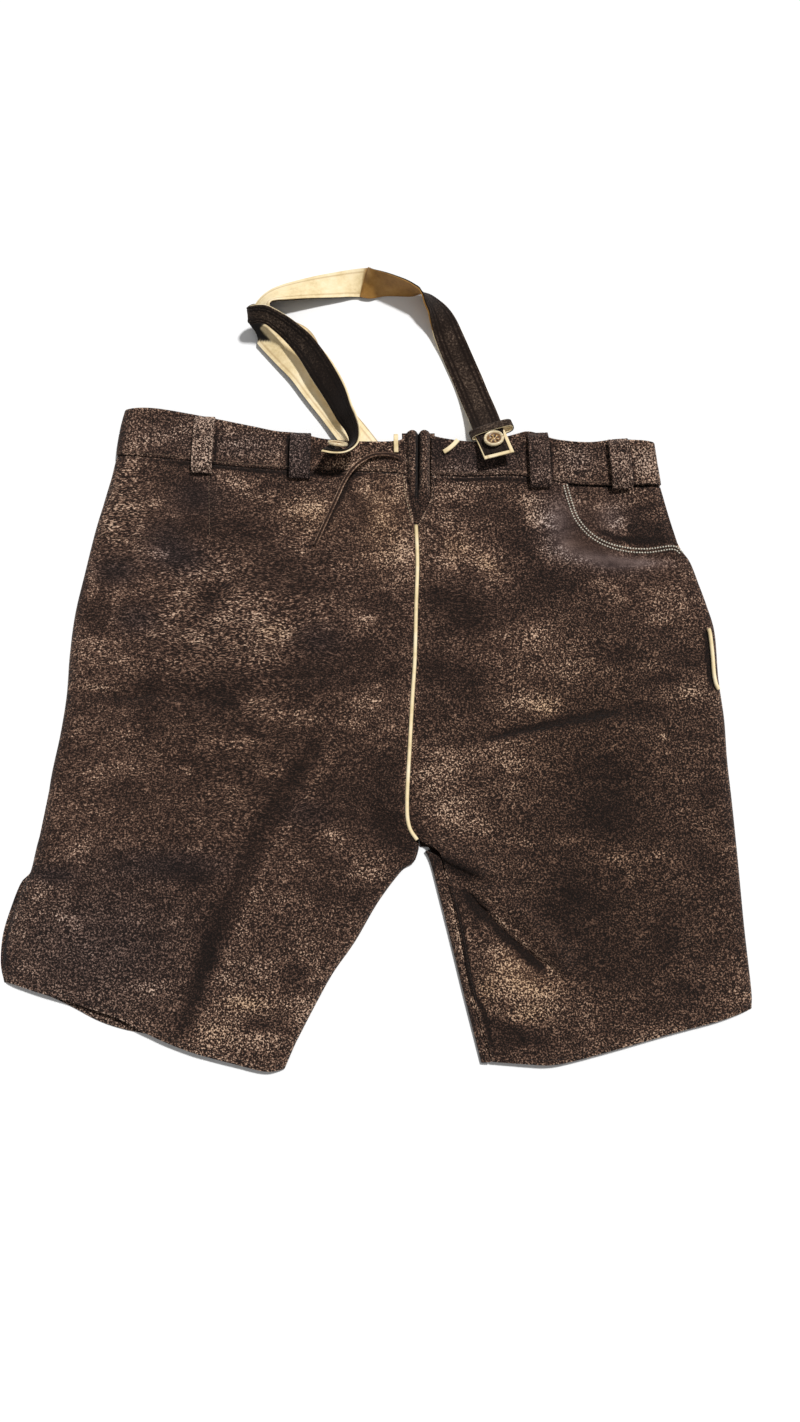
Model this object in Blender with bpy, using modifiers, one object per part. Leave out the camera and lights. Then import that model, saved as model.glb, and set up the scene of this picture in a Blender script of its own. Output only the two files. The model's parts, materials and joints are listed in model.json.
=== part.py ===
"""Leather shorts with braces, laid flat on a surface with the back side up.

Tables are in millimetres, meshes in metres. +X is the wearer's right, +Y is towards the waist
and +Z is up from the surface. Left and right in names are the wearer's. The back is one height
field, `back_height`, over outlines that smooth curves pass through; straps and loops follow
stations; the panels lie on each other with the waist and both legs open.
"""

import math
from collections import namedtuple

import bmesh
import bpy
import numpy as np
from mathutils import Vector

MM = 0.001

# Driving dimensions, in millimetres.
LEATHER = 1.6
BAND_THICKNESS = 3.0
STRAP_WIDTH = 28.0
STRAP_THICKNESS = 2.6
LOOP_WIDTH = 19.0
LOOP_THICKNESS = 2.2
LOOP_ROOM = 4.9
PIPING_DIAMETER = 3.0
KNIFE_PIPING_DIAMETER = 3.2
LACE_DIAMETER = 3.8
LACE_LOOP_WIDTH = 4.2
LACE_LOOP_THICKNESS = 1.6
BUTTON_RADIUS = 9.2
BUTTON_CLEAR = 2.4
BUTTON_STEPS = 24
BUTTON_RIGHT_AT = 17.0
BUTTON_LEFT_AT = 10.5
KEEPER_AT = 33.0
KEEPER_WIDTH = 7.6
KEEPER_THICKNESS = 1.8
KEEPER_REACH = 19.6
KEEPER_RISE = 4.6
FACING_THICKNESS = 1.4
GUSSET_THICKNESS = 1.2
GAP = 0.35
STRIP_GAP = 1.0

# Heights of the back's outer skin above the surface, and how far in from an edge they are reached.
EDGE_HEIGHT = 3.4
SEAT_CROWN = 8.8
LEG_CROWN = 7.8
LEG_LEVEL = -200.0
SEAT_LEVEL = 50.0
HEM_SHARE = 0.84
HEM_REACH = 90.0
EDGE_ROUND = 14.0
EDGE_SHARE = 0.74
CROWN_REACH = 85.0
FOLD_FADE = 16.0
SEAM_DIP = 1.8
SEAM_DIP_WIDTH = 5.0
BAND_LIFT = 1.4
BAND_EDGE_LIFT = 3.1
BAND_LIFT_REACH = 40.0

# The rolled inseam edge: how far in it leaves the surface, the share of the inseam at which it
# starts and its rows, then (share of the strip's width, height) of each line over the roll, where
# None lies on the back's outer skin.
ROLL_START = 4.0
ROLL_TOP = 0.02
ROLL_ROWS = 15
ROLL = [(0.14, 0.5), (0.0, 2.3), (0.08, None), (0.3, None), (0.62, None), (1.0, None)]

# How far the back panels stay below the band's seam, and the band above it.
BELOW_SEAM = np.array([0.0, 0.5])
ABOVE_SEAM = np.array([0.0, 0.1])

# Grids: the shares of a width at which rows lie next to an edge, and how much closer they get.
EDGE_STEPS = (0.007, 0.024)
CLOSER = 1.25

# The middle of the box round everything, so that the origin stands under it.
CENTRE = np.array([-0.63, 1.0, 0.0])

# Outlines, as points (x, y) that smooth curves pass through.
SIDE_LEFT = [(-241, 181), (-247, 152), (-257, 114), (-266, 69), (-273, 31), (-276, -6),
             (-277, -42), (-281, -78), (-287, -114), (-291, -150), (-297, -178), (-301, -199),
             (-307, -212), (-314, -233), (-319.5, -256), (-321, -277), (-318, -293)]
SLIT_LEFT = [(-241, 181), (-257, 114), (-273, 31), (-277, -42), (-287, -114), (-297, -178),
             (-301, -199), (-309.5, -209), (-317, -230), (-323, -254), (-323.5, -278), (-319.5, -294)]
SIDE_RIGHT = [(261, 152), (268.5, 122), (276, 97), (285, 81), (292, 61), (299, 39), (305, 14),
              (306.5, -28), (310, -65), (311, -102), (313.5, -140), (316, -185), (319, -247),
              (322.5, -300), (322, -316)]
INSEAM_LEFT = [(36, -178), (33.5, -191), (22.5, -199), (2, -226), (-18, -260), (-37, -287),
               (-52, -314), (-66, -341), (-77, -366)]
INSEAM_RIGHT = [(41, -179), (47.5, -191.5), (55, -220), (65, -260), (76, -305), (90, -361)]
STRIP_SEAM = [(55, -184), (62, -207), (72, -250), (81, -299), (91, -335), (99, -360)]
SEAT_SEAM = [(35.6, 113), (36.8, 78), (35.6, 40), (34.3, -10), (32, -47), (29.6, -90), (27.2, -138),
             (29, -161), (38.5, -176)]
NOTCH_LEFT = [(26.5, 160), (28.5, 140), (32, 125), (34, 113)]
NOTCH_RIGHT = [(49.6, 160), (49.4, 140), (44, 126), (37.4, 113)]
HEM_LEFT = [(-318, -293), (-287, -303), (-262, -310), (-240, -317), (-217, -325), (-198, -335),
            (-159, -351), (-114, -363), (-92, -368), (-77, -366)]
FRONT_HEM_LEFT = [(-319.5, -294), (-287, -303.5), (-262, -314), (-238, -326), (-217, -333), (-190, -339),
                  (-159, -350), (-114, -361), (-90, -366), (-77.5, -363)]
HEM_RIGHT = [(90, -361), (130, -362.5), (150, -363), (171, -359), (212, -348), (253, -336.5),
             (294, -326), (322, -316)]
BAND_SEAM_LEFT = [(-241, 181), (-172, 174), (-149, 170), (-83, 165), (-25, 164), (13, 162.5), (26.5, 160)]
BAND_SEAM_RIGHT = [(49.6, 160), (84, 158.5), (126, 159.5), (175, 152), (214, 150.5), (261, 152)]
BAND_TOP_LEFT = [(-235, 225), (-205, 225.5), (-161, 217), (-116, 207.5), (-93, 202.5), (-71.5, 200.5),
                 (-49, 195), (-15, 192.5), (16, 193), (25, 196)]
BAND_TOP_RIGHT = [(50, 198.5), (62, 195.5), (84, 192.5), (104, 193), (127, 199.5), (141, 202),
                  (165, 194.5), (195, 192), (222, 195), (256.5, 193)]
BAND_END_LEFT = [(25, 196), (26, 178), (26.5, 160.6)]
BAND_END_RIGHT = [(50, 198.5), (49.8, 178), (49.6, 160.6)]
BAND_SIDE_LEFT = [(-235, 225), (-239, 205), (-241, 181.6)]
BAND_SIDE_RIGHT = [(256.5, 193), (258.5, 174), (261, 152.6)]
SCOOP = [(175, 152), (179, 136), (184.5, 120), (195, 106.5), (209, 97.5), (226, 93), (246, 92),
         (270, 95), (285, 81)]

# Troughs (depth below 0) and ridges of the soft leather: a line from (x0, y0) to (x1, y1) that
# bows sideways by `bow`, with `width` to each side.
Fold = namedtuple("Fold", "x0 y0 x1 y1 bow height width")
FOLD_OVER = 0.12
FOLD_TAPER = 0.3
FOLDS = [
    Fold(10, -35, -160, -322, 12, -2.6, 20),
    Fold(40, -70, -110, -330, 10, 1.8, 22),
    Fold(-60, -120, -215, -300, 8, 1.6, 20),
    Fold(84, -84, 232, -52, 6, -2.4, 8),
    Fold(90, -98, 240, -72, 6, 1.4, 12),
    Fold(-278, -40, -70, -52, 4, -1.5, 10),
    Fold(-284, -92, -200, -98, 2, -1.6, 9),
    Fold(-10, -150, 34, -190, 4, -3.4, 11),
    Fold(2, -128, 40, -170, 3, 1.5, 9),
    Fold(44, -172, 96, -198, -5, 3.4, 7),
    Fold(56, -196, 100, -214, -3, -4.2, 6),
    Fold(84, -206, 168, -286, 5, 3.8, 9),
    Fold(74, -214, 160, -296, 5, -3.6, 8),
    Fold(120, -322, 150, -348, 3, -1.8, 8),
    Fold(-24, 146, 10, 96, -6, -2.2, 9),
    Fold(-52, 150, -44, 100, 5, 1.4, 12),
    Fold(60, 60, 120, 20, 6, 1.4, 18),
    Fold(190, -120, 300, -190, 10, -1.8, 20),
    Fold(215, 84, 280, 78, 2, -1.8, 6),
]


def clear_scene():
    """Empties the scene and returns the collection that holds the garment."""
    for obj in list(bpy.data.objects):
        bpy.data.objects.remove(obj, do_unlink=True)
    collection = bpy.data.collections.new("lederhosen")
    bpy.context.scene.collection.children.link(collection)
    return collection


def plain_material(name, colour, roughness=0.85):
    material = bpy.data.materials.new(name)
    material.use_nodes = True
    shader = material.node_tree.nodes["Principled BSDF"]
    shader.inputs["Base Color"].default_value = (*colour, 1.0)
    shader.inputs["Roughness"].default_value = roughness
    shader.inputs["Metallic"].default_value = 0.0
    return material


# Curves.

def smooth_curve(points, steps=14):
    """A dense smooth curve through `points`, of any number of columns."""
    points = np.asarray(points, float)
    ends = np.vstack([2 * points[0] - points[1], points, 2 * points[-1] - points[-2]])
    out = []
    for before, start, end, after in zip(ends[:-3], ends[1:-2], ends[2:-1], ends[3:]):
        for t in np.arange(steps) / steps:
            square = 2 * before - 5 * start + 4 * end - after
            cube = 3 * start - before - 3 * end + after
            out.append(0.5 * (2 * start + (end - before) * t + square * t ** 2 + cube * t ** 3))
    out.append(points[-1])
    return np.array(out)


def lengths(curve, columns=3):
    steps = np.diff(curve[:, :columns], axis=0)
    return np.concatenate([[0.0], np.cumsum(np.sqrt((steps ** 2).sum(axis=1)))])


def along(curve, shares):
    """The points at these shares of the curve's length."""
    run = lengths(curve)
    at = np.asarray(shares, float) * run[-1]
    return np.stack([np.interp(at, run, column) for column in curve.T], axis=-1)


def joined(*curves):
    """Curves end to end, with the share of the length at which each one ends."""
    whole = np.vstack([curves[0]] + [curve[1:] for curve in curves[1:]])
    ends = np.cumsum([lengths(curve)[-1] for curve in curves])
    return whole, ends / lengths(whole)[-1]


def beside(curve, offset):
    """The curve moved by `offset` to the right of its run."""
    run = np.gradient(curve, axis=0)
    run /= np.sqrt((run ** 2).sum(axis=1))[:, None]
    return curve + offset * np.stack([run[:, 1], -run[:, 0]], axis=-1)


def smooth(value):
    value = np.clip(value, 0.0, 1.0)
    return value * value * (3 - 2 * value)


def distance(curve, x, y):
    """Each point's distance to the curve."""
    start, step = curve[:-1], np.diff(curve, axis=0)
    dx = np.asarray(x)[..., None] - start[:, 0]
    dy = np.asarray(y)[..., None] - start[:, 1]
    share = np.clip((dx * step[:, 0] + dy * step[:, 1]) / (step ** 2).sum(axis=1), 0, 1)
    return np.sqrt(((dx - share * step[:, 0]) ** 2 + (dy - share * step[:, 1]) ** 2).min(axis=-1))


# The back's outer skin, as one height above the surface.

EDGE_LEFT = smooth_curve(BAND_SIDE_LEFT[:-1] + SIDE_LEFT)
EDGE_RIGHT = smooth_curve(BAND_SIDE_RIGHT[:-1] + SIDE_RIGHT)
LEG_LEFT = smooth_curve(INSEAM_LEFT)
LEG_RIGHT = smooth_curve(INSEAM_RIGHT)
SEAM = smooth_curve(SEAT_SEAM)
HEMS = smooth_curve(HEM_LEFT), smooth_curve(HEM_RIGHT)


def rounded(gap):
    share = np.clip(gap / EDGE_ROUND, 0, 1)
    reach = EDGE_SHARE + (1 - EDGE_SHARE) * smooth(gap / CROWN_REACH)
    return np.sqrt(1 - (1 - share) ** 2) * reach


def fold_height(fold, x, y):
    run = math.hypot(fold.x1 - fold.x0, fold.y1 - fold.y0)
    ux, uy = (fold.x1 - fold.x0) / run, (fold.y1 - fold.y0) / run
    share = ((x - fold.x0) * ux + (y - fold.y0) * uy) / run
    inside = np.clip(share, 0, 1)
    off = (x - fold.x0) * -uy + (y - fold.y0) * ux - fold.bow * 4 * inside * (1 - inside)
    start = smooth((share + FOLD_OVER) / FOLD_TAPER)
    ends = start * smooth((1 + FOLD_OVER - share) / FOLD_TAPER)
    return fold.height * ends * np.exp(-(off / fold.width) ** 2)


def back_height(x, y):
    x, y = np.asarray(x, float), np.asarray(y, float)
    side = np.minimum(distance(EDGE_LEFT, x, y), distance(EDGE_RIGHT, x, y))
    leg = np.minimum(distance(LEG_LEFT, x, y), distance(LEG_RIGHT, x, y))
    hem = np.minimum(distance(HEMS[0], x, y), distance(HEMS[1], x, y))
    crown = LEG_CROWN + (SEAT_CROWN - LEG_CROWN) * smooth((y - LEG_LEVEL) / (SEAT_LEVEL - LEG_LEVEL))
    crown = crown * (HEM_SHARE + (1 - HEM_SHARE) * smooth(hem / HEM_REACH))
    folds = sum(fold_height(fold, x, y) for fold in FOLDS)
    folds = folds - SEAM_DIP * np.exp(-(distance(SEAM, x, y) / SEAM_DIP_WIDTH) ** 2)
    edge = smooth(np.minimum(side, leg) / FOLD_FADE)
    return EDGE_HEIGHT + crown * rounded(side) * rounded(leg) + folds * edge


def band_height(x, y):
    side = np.minimum(distance(EDGE_LEFT, x, y), distance(EDGE_RIGHT, x, y))
    lift = BAND_EDGE_LIFT + (BAND_LIFT - BAND_EDGE_LIFT) * smooth(side / BAND_LIFT_REACH)
    return back_height(x, y) + lift


# Sheets: a grid between four outlines, with a wall's thickness.

def shares(count, near_start=(), near_end=()):
    """Even shares 0 to 1, with extra ones close to the ends."""
    even = np.linspace(0, 1, count + 1)
    low = max(near_start, default=0)
    high = 1 - max(near_end, default=0)
    even = even[(even > low + 0.4 / count) & (even < high - 0.4 / count)]
    return np.array([0, *near_start, *even, *(1 - np.array(sorted(near_end, reverse=True))), 1])


def split_shares(corner, before, after, **ends):
    """Shares with a row of the grid on a corner of the outline, and rows closer together before it."""
    first = corner * (1 - np.linspace(1, 0, before + 1) ** CLOSER)
    second = corner + (1 - corner) * shares(after, **ends)
    return np.concatenate([first, second[1:]])


def patch(top, bottom, left, right, across, down):
    """Grid points (down, across, 2) of a patch between four curves that meet at its corners."""
    u = np.asarray(across)[None, :, None]
    v = np.asarray(down)[:, None, None]
    high, low = along(top, across)[None], along(bottom, across)[None]
    first, last = along(left, down)[:, None], along(right, down)[:, None]
    corners_high = (1 - u) * high[:, :1] + u * high[:, -1:]
    corners_low = (1 - u) * low[:, :1] + u * low[:, -1:]
    between = (1 - v) * high + v * low + (1 - u) * first + u * last
    return between - (1 - v) * corners_high - v * corners_low


def sheet(name, points, material, thickness, collection, closed=False, offset=-1.0):
    """A wall on a grid of outer points (rows, columns, 3) in millimetres."""
    rows, columns = points.shape[:2]
    mesh = bpy.data.meshes.new(name)
    work = bmesh.new()
    grid = [[work.verts.new(tuple(place * MM)) for place in row] for row in points - CENTRE]
    for i in range(rows if closed else rows - 1):
        for j in range(columns - 1):
            after = grid[(i + 1) % rows]
            work.faces.new((grid[i][j], after[j], after[j + 1], grid[i][j + 1]))
    work.to_mesh(mesh)
    work.free()
    mesh.shade_smooth()
    mesh.materials.append(material)
    obj = bpy.data.objects.new(name, mesh)
    collection.objects.link(obj)
    wall = obj.modifiers.new("wall", "SOLIDIFY")
    wall.thickness = thickness * MM
    wall.offset = offset
    return obj


def raised(plan, height):
    return np.concatenate([plan, height(plan[..., 0], plan[..., 1])[..., None]], axis=-1)


# Strips: straps, loops and other bands that follow a path.

def strip_frames(stations, shares):
    """Middle points and side, outward and running directions at these shares of a strip's length.

    Stations are (x, y, z, lean). A lean of 0 lies with the outer face up, 90 stands with it to
    the right of the run, and 180 lies with it down.
    """
    dense = smooth_curve(stations)
    path = along(dense, shares)
    step = 1 / len(dense)
    run = along(dense, np.minimum(shares + step, 1)) - along(dense, np.maximum(shares - step, 0))
    run = run[:, :3] / np.linalg.norm(run[:, :3], axis=1)[:, None]
    flat = np.cross(run, (0, 0, 1))
    flat /= np.linalg.norm(flat, axis=1)[:, None]
    up = np.cross(flat, run)
    lean = np.radians(path[:, 3])[:, None]
    side = np.cos(lean) * flat - np.sin(lean) * up
    outward = np.cos(lean) * up + np.sin(lean) * flat
    return path[:, :3], side, outward, run


def strip_points(stations, width, step, across=2):
    """Grid of a strip's middle surface."""
    count = max(4, round(lengths(smooth_curve(stations))[-1] / step))
    middle, side, _, _ = strip_frames(stations, np.linspace(0, 1, count + 1))
    places = (np.arange(across + 1) / across - 0.5) * width
    return middle[:, None] + places[None, :, None] * side[:, None]


def strip(name, stations, width, thickness, material, collection, step=9.0):
    points = strip_points(stations, width, step)
    return sheet(name, points, material, thickness, collection, offset=0.0)


def tube(name, points, diameter, material, collection, step):
    """A round cord through points (x, y, z)."""
    dense = smooth_curve(points)
    count = round(lengths(dense)[-1] / step)
    path = along(dense, np.linspace(0, 1, count + 1)) - CENTRE
    curve = bpy.data.curves.new(name, "CURVE")
    curve.dimensions = "3D"
    spline = curve.splines.new("POLY")
    spline.points.add(len(path) - 1)
    for point, place in zip(spline.points, path):
        point.co = (*(place * MM), 1.0)
    curve.bevel_depth = diameter / 2 * MM
    curve.bevel_resolution = 2
    curve.use_fill_caps = True
    curve.materials.append(material)
    obj = bpy.data.objects.new(name, curve)
    collection.objects.link(obj)
    return obj


# Panels.

def laid_flat(plan):
    """A panel's grid on the surface, in the order that puts its wall above it."""
    return np.concatenate([plan, np.zeros(plan.shape[:2] + (1,))], axis=-1)[:, ::-1]


def front_panels(collection, material):
    """The two flat front panels. The right one ends where its inseam edge turns up: see inseam_roll."""
    middle = smooth_curve([(30.5, 150), (31, 0), (34, -120), (38.2, -178)])
    across = np.linspace(0, 1, 9)

    top = smooth_curve([(-241, 178), (-80, 160), (30.5, 150)])
    leg = smooth_curve([(38, -178)] + INSEAM_LEFT[1:-1] + [(-77.5, -363)])
    inner, ends = joined(beside(middle, GAP), leg)
    down = split_shares(ends[0], 7, 7)
    plan = patch(top, smooth_curve(FRONT_HEM_LEFT), smooth_curve(SLIT_LEFT), inner, across, down)
    sheet("front_left", laid_flat(plan), material, LEATHER, collection)

    top = smooth_curve([(31.2, 150), (170, 148), (261, 150)])
    middle = beside(middle, -GAP)
    leg = beside(smooth_curve(INSEAM_RIGHT), -ROLL_START - 2 * GAP)
    leg = along(leg, np.linspace(ROLL_TOP / 2, 1, 8 * ROLL_ROWS))
    inner, ends = joined(middle, np.array([middle[-1], leg[0]]), leg)
    below = ends[1] + (1 - ends[1]) * np.linspace(0, 1, ROLL_ROWS)
    down = np.concatenate([ends[0] * (1 - np.linspace(1, 0, 8) ** CLOSER), below])
    plan = patch(top, smooth_curve(HEM_RIGHT), inner, smooth_curve(SIDE_RIGHT), across, down)
    sheet("front_right", laid_flat(plan), material, LEATHER, collection)


def inseam_roll(collection, material):
    """The right front's inseam edge, which turns up and lies on top as far as the back's edge."""
    even = np.linspace(ROLL_TOP, 1, ROLL_ROWS)
    edge = smooth_curve(INSEAM_RIGHT)
    rim = along(edge, even)
    over = along(smooth_curve(STRIP_SEAM), even) - rim
    over *= 1 - STRIP_GAP / np.linalg.norm(over, axis=1)[:, None]
    start = along(beside(edge, -ROLL_START), even)
    lines = [np.column_stack([start, np.zeros(ROLL_ROWS)])]
    for inset, level in ROLL:
        plan = rim + over * inset
        height = back_height(*plan.T) if level is None else np.full(ROLL_ROWS, level)
        lines.append(np.column_stack([plan, height]))
    sheet("inseam_right", np.stack(lines, axis=1), material, LEATHER, collection)


def back_panels(collection, material):
    """The two back panels, from their top outlines down to the hems, on each side of the piping."""
    half = PIPING_DIAMETER / 2 + GAP
    seam_left = beside(SEAM[:-1], half)
    seam_right = beside(SEAM[:-1], -half)
    notch_left = smooth_curve(NOTCH_LEFT[:-1] + [tuple(seam_left[0])])
    notch_right = smooth_curve(NOTCH_RIGHT[:-1] + [tuple(seam_right[0])])
    leg_left = smooth_curve([tuple(seam_left[-1])] + INSEAM_LEFT[1:])
    leg_right = smooth_curve([tuple(seam_right[-1])] + STRIP_SEAM)

    inner, ends = joined(notch_left, seam_left, leg_left)
    down = split_shares(ends[1], 17, 11)
    across = shares(16, near_start=EDGE_STEPS, near_end=EDGE_STEPS)
    top = smooth_curve(BAND_SEAM_LEFT) - BELOW_SEAM
    plan = patch(top, smooth_curve(HEM_LEFT), smooth_curve(SIDE_LEFT), inner, across, down)
    sheet("back_left", raised(plan, back_height), material, LEATHER, collection)

    inner, ends = joined(notch_right, seam_right, leg_right)
    down = split_shares(ends[1], 17, 11)
    top, corners = joined(smooth_curve(BAND_SEAM_RIGHT[:4]), smooth_curve(SCOOP))
    across = split_shares(corners[0], 7, 10, near_end=EDGE_STEPS)
    top = top - BELOW_SEAM
    hem = smooth_curve([(99.6, -360.6)] + HEM_RIGHT[1:])
    side = smooth_curve(SIDE_RIGHT[3:])
    plan = patch(top, hem, inner, side, across, down)
    sheet("back_right", raised(plan, back_height), material, LEATHER, collection)


def pocket_facing(collection, material):
    """The piece inside the scooped pocket mouth, one wall's thickness below the back."""
    top = smooth_curve([(167, 152.6), (214, 150), (261, 151.6)])
    side = smooth_curve([(261, 151.6), (268.2, 122), (274.5, 99)])
    left = smooth_curve([(167, 152.6), (170, 130), (177, 112)])
    bottom = smooth_curve([(177, 112), (190, 95), (212, 84), (240, 82), (262, 89), (274.5, 99)])
    plan = patch(top, bottom, left, side, shares(9, near_end=(0.02, 0.06)), np.linspace(0, 1, 8))

    def below(x, y):
        return np.maximum(back_height(x, y) - LEATHER - 2 * GAP, LEATHER + FACING_THICKNESS + 0.5)

    sheet("pocket_facing", raised(plan, below), material, FACING_THICKNESS, collection)


def bands(collection, material):
    """The waistband in four: two on the back's height field and two flat ones in front."""
    down = np.linspace(0, 1, 6)
    steps = shares(22, near_start=(0.008, 0.025, 0.055))
    low = smooth_curve(BAND_SEAM_LEFT) + ABOVE_SEAM
    plan = patch(smooth_curve(BAND_TOP_LEFT), low, smooth_curve(BAND_SIDE_LEFT),
                 smooth_curve(BAND_END_LEFT), steps, down)
    sheet("band_back_left", raised(plan, band_height), material, BAND_THICKNESS, collection)
    low = smooth_curve(BAND_SEAM_RIGHT) + ABOVE_SEAM
    plan = patch(smooth_curve(BAND_TOP_RIGHT), low, smooth_curve(BAND_END_RIGHT),
                 smooth_curve(BAND_SIDE_RIGHT), 1 - steps[::-1], down)
    sheet("band_back_right", raised(plan, band_height), material, BAND_THICKNESS, collection)

    # The front pieces end at the sides and at the centre-front opening.
    front_left = ([(-235, 222), (-161, 213), (-71, 195), (30.7, 187)],
                  [(-241, 181.6), (-80, 163), (30.7, 152)])
    front_right = ([(31.3, 187), (84, 185), (160, 185), (256.5, 190)],
                   [(31.3, 152), (150, 152), (261, 153)])
    for side, (high, low) in (("left", front_left), ("right", front_right)):
        ends = [smooth_curve([high[0], low[0]]), smooth_curve([high[-1], low[-1]])]
        outer = 0 if side == "left" else 1
        bulge = (BAND_SIDE_LEFT, BAND_SIDE_RIGHT)[outer][1]
        ends[outer] = smooth_curve([high[-outer], (bulge[0], bulge[1] - 2), low[-outer]])
        plan = patch(smooth_curve(high), smooth_curve(low), *ends,
                     np.linspace(0, 1, 12), np.linspace(0, 1, 4))
        sheet("band_front_" + side, laid_flat(plan), material, BAND_THICKNESS, collection)


# The gusset, by level down from its top: its two edges and its valley.
Level = namedtuple("Level", "y left valley right")
GUSSET = [
    Level(202, 27.2, 37.9, 48.6), Level(198, 27.3, 37.9, 48.6), Level(192, 27.4, 37.8, 48.6),
    Level(184, 27.5, 37.8, 48.6), Level(175, 27.7, 37.7, 48.6), Level(166, 27.9, 37.6, 48.6),
    Level(157, 28.3, 37.5, 48.5), Level(149, 29.2, 37.2, 48.3), Level(142, 29.9, 36.9, 48.1),
    Level(136, 31.1, 36.7, 46.6), Level(130, 32.5, 36.4, 44.4), Level(124, 33.7, 36.2, 42.0),
    Level(117, 34.5, 35.9, 38.3), Level(109, 35.0, 35.6, 36.2),
]
GUSSET_FLAT = 118.0
GUSSET_FULL = 152.0
GUSSET_RISE = 0.74
GUSSET_VALLEY = 2.6
GUSSET_BASE = 1.1
FLANGE_DROP = 0.8


def gusset(collection, material):
    """A bellows gusset: two arches with a deep valley between them, flat at its lower end."""
    rows = []
    arch = np.linspace(0, 1, 8)
    bow = np.sin(math.pi * arch).clip(0) ** 0.7
    for level in GUSSET:
        y = min(level.y, 196)
        swell = smooth((level.y - GUSSET_FLAT) / (GUSSET_FULL - GUSSET_FLAT))
        wide_left, wide_right = level.valley - level.left, level.right - level.valley
        base = float(back_height(level.valley, y)) - LEATHER - GUSSET_BASE
        xs = np.concatenate([[level.left - 4.5, level.left - 1.2], level.left + wide_left * arch,
                             level.valley + wide_right * arch[1:], [level.right + 1.2, level.right + 4.5]])
        rise = GUSSET_RISE * swell
        zs = np.concatenate([[0, 0], rise * wide_left * bow, rise * wide_right * bow[1:], [0, 0]])
        zs = base + zs - GUSSET_VALLEY * swell * np.exp(-((xs - level.valley) / 2.0) ** 2)
        skin, wall = (band_height, BAND_THICKNESS) if level.y > 160 else (back_height, LEATHER)
        for column in (0, 1, -2, -1):
            zs[column] = float(skin(xs[column], y)) - wall - GAP - FLANGE_DROP
        rows.append(np.stack([xs, np.full(len(xs), float(level.y)), zs], axis=-1))
    sheet("gusset", np.array(rows), material, GUSSET_THICKNESS, collection)


# Trim.

# Each belt loop's ends, and its room above the band at shares of its run.
Loop = namedtuple("Loop", "x0 y0 x1 y1")
LOOPS = [
    Loop(-158.5, 215, -160.5, 161.5), Loop(-70, 199, -70.8, 156.5),
    Loop(147.5, 199.2, 149.5, 148), Loop(221, 193.6, 224.5, 147),
]
LOOP_ARCH = [
    (0, 0.2), (0.04, 1.6), (0.1, 4.2), (0.17, LOOP_ROOM), (0.4, LOOP_ROOM + 0.4),
    (0.62, LOOP_ROOM + 0.4), (0.84, LOOP_ROOM), (0.91, 4.2), (0.96, 1.8), (1, 0.2),
]


def belt_loops(collection, material):
    """Each loop stands off the band, so that a belt goes through it."""
    reach = np.array([-1, 0, 1]) * LOOP_WIDTH / 2
    for number, loop in enumerate(LOOPS, 1):
        stations = []
        for share, room in LOOP_ARCH:
            x = loop.x0 + (loop.x1 - loop.x0) * share
            y = loop.y0 + (loop.y1 - loop.y0) * share
            top = max(band_height(x + reach, np.full(3, y)))
            stations.append((x, y, top + GAP + LOOP_THICKNESS / 2 + room, 0))
        strip(f"belt_loop_{number}", stations[::-1], LOOP_WIDTH, LOOP_THICKNESS, material, collection, 3.2)


# The braces, as (x, y, z, lean) from the buttoned end; see strip_frames for the lean.
STRAP_RIGHT = [
    (110.8, 172.3, 31, 0), (108.2, 182.1, 25.5, 0), (105.1, 192.8, 20.5, 0), (101.9, 203.5, 16, 0),
    (97.5, 220.2, 9, 0), (91.1, 239.5, 3.4, 0), (85.3, 256, 2, 0), (78.8, 272.1, 2, 0),
    (72.4, 288.1, 2.5, 2), (67, 301.5, 4, 9), (62.4, 313.4, 6.3, 20), (57.4, 323, 9.1, 33),
    (52, 330, 11.6, 45), (46.2, 336.6, 13.6, 57), (40.4, 340.2, 14.8, 68), (34.9, 341.6, 15.5, 80),
    (27.5, 343.7, 15.7, 90), (16.8, 346.4, 15.4, 99), (5.3, 348.8, 14.7, 110), (-4, 350.6, 12.5, 126),
    (-9.8, 353, 8.6, 150), (-15.2, 355.4, 3.8, 172), (-25.6, 355.4, 2.4, 181), (-37.1, 353.3, 3.6, 187),
    (-55.7, 349.9, 5.6, 196), (-74.5, 345.7, 7.9, 206), (-88.7, 342, 9.4, 213), (-99.4, 337.3, 11, 221),
    (-107, 330.4, 12.4, 229), (-109.2, 321.8, 12, 227), (-104.6, 314, 10.2, 218), (-96, 309, 7.8, 205),
    (-84.5, 305.6, 5, 192), (-73.2, 300.8, 3, 183), (-66.4, 291.4, 2.2, 180), (-62.3, 275.5, 2, 180),
    (-55.9, 253.1, 2, 180), (-44.5, 233.2, 2, 180), (-33.1, 217.3, 1.9, 180), (-23.6, 204.9, 3.4, 180),
    (-16.1, 194.4, 5, 180), (0.7, 171.9, 5, 180),
]
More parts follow.
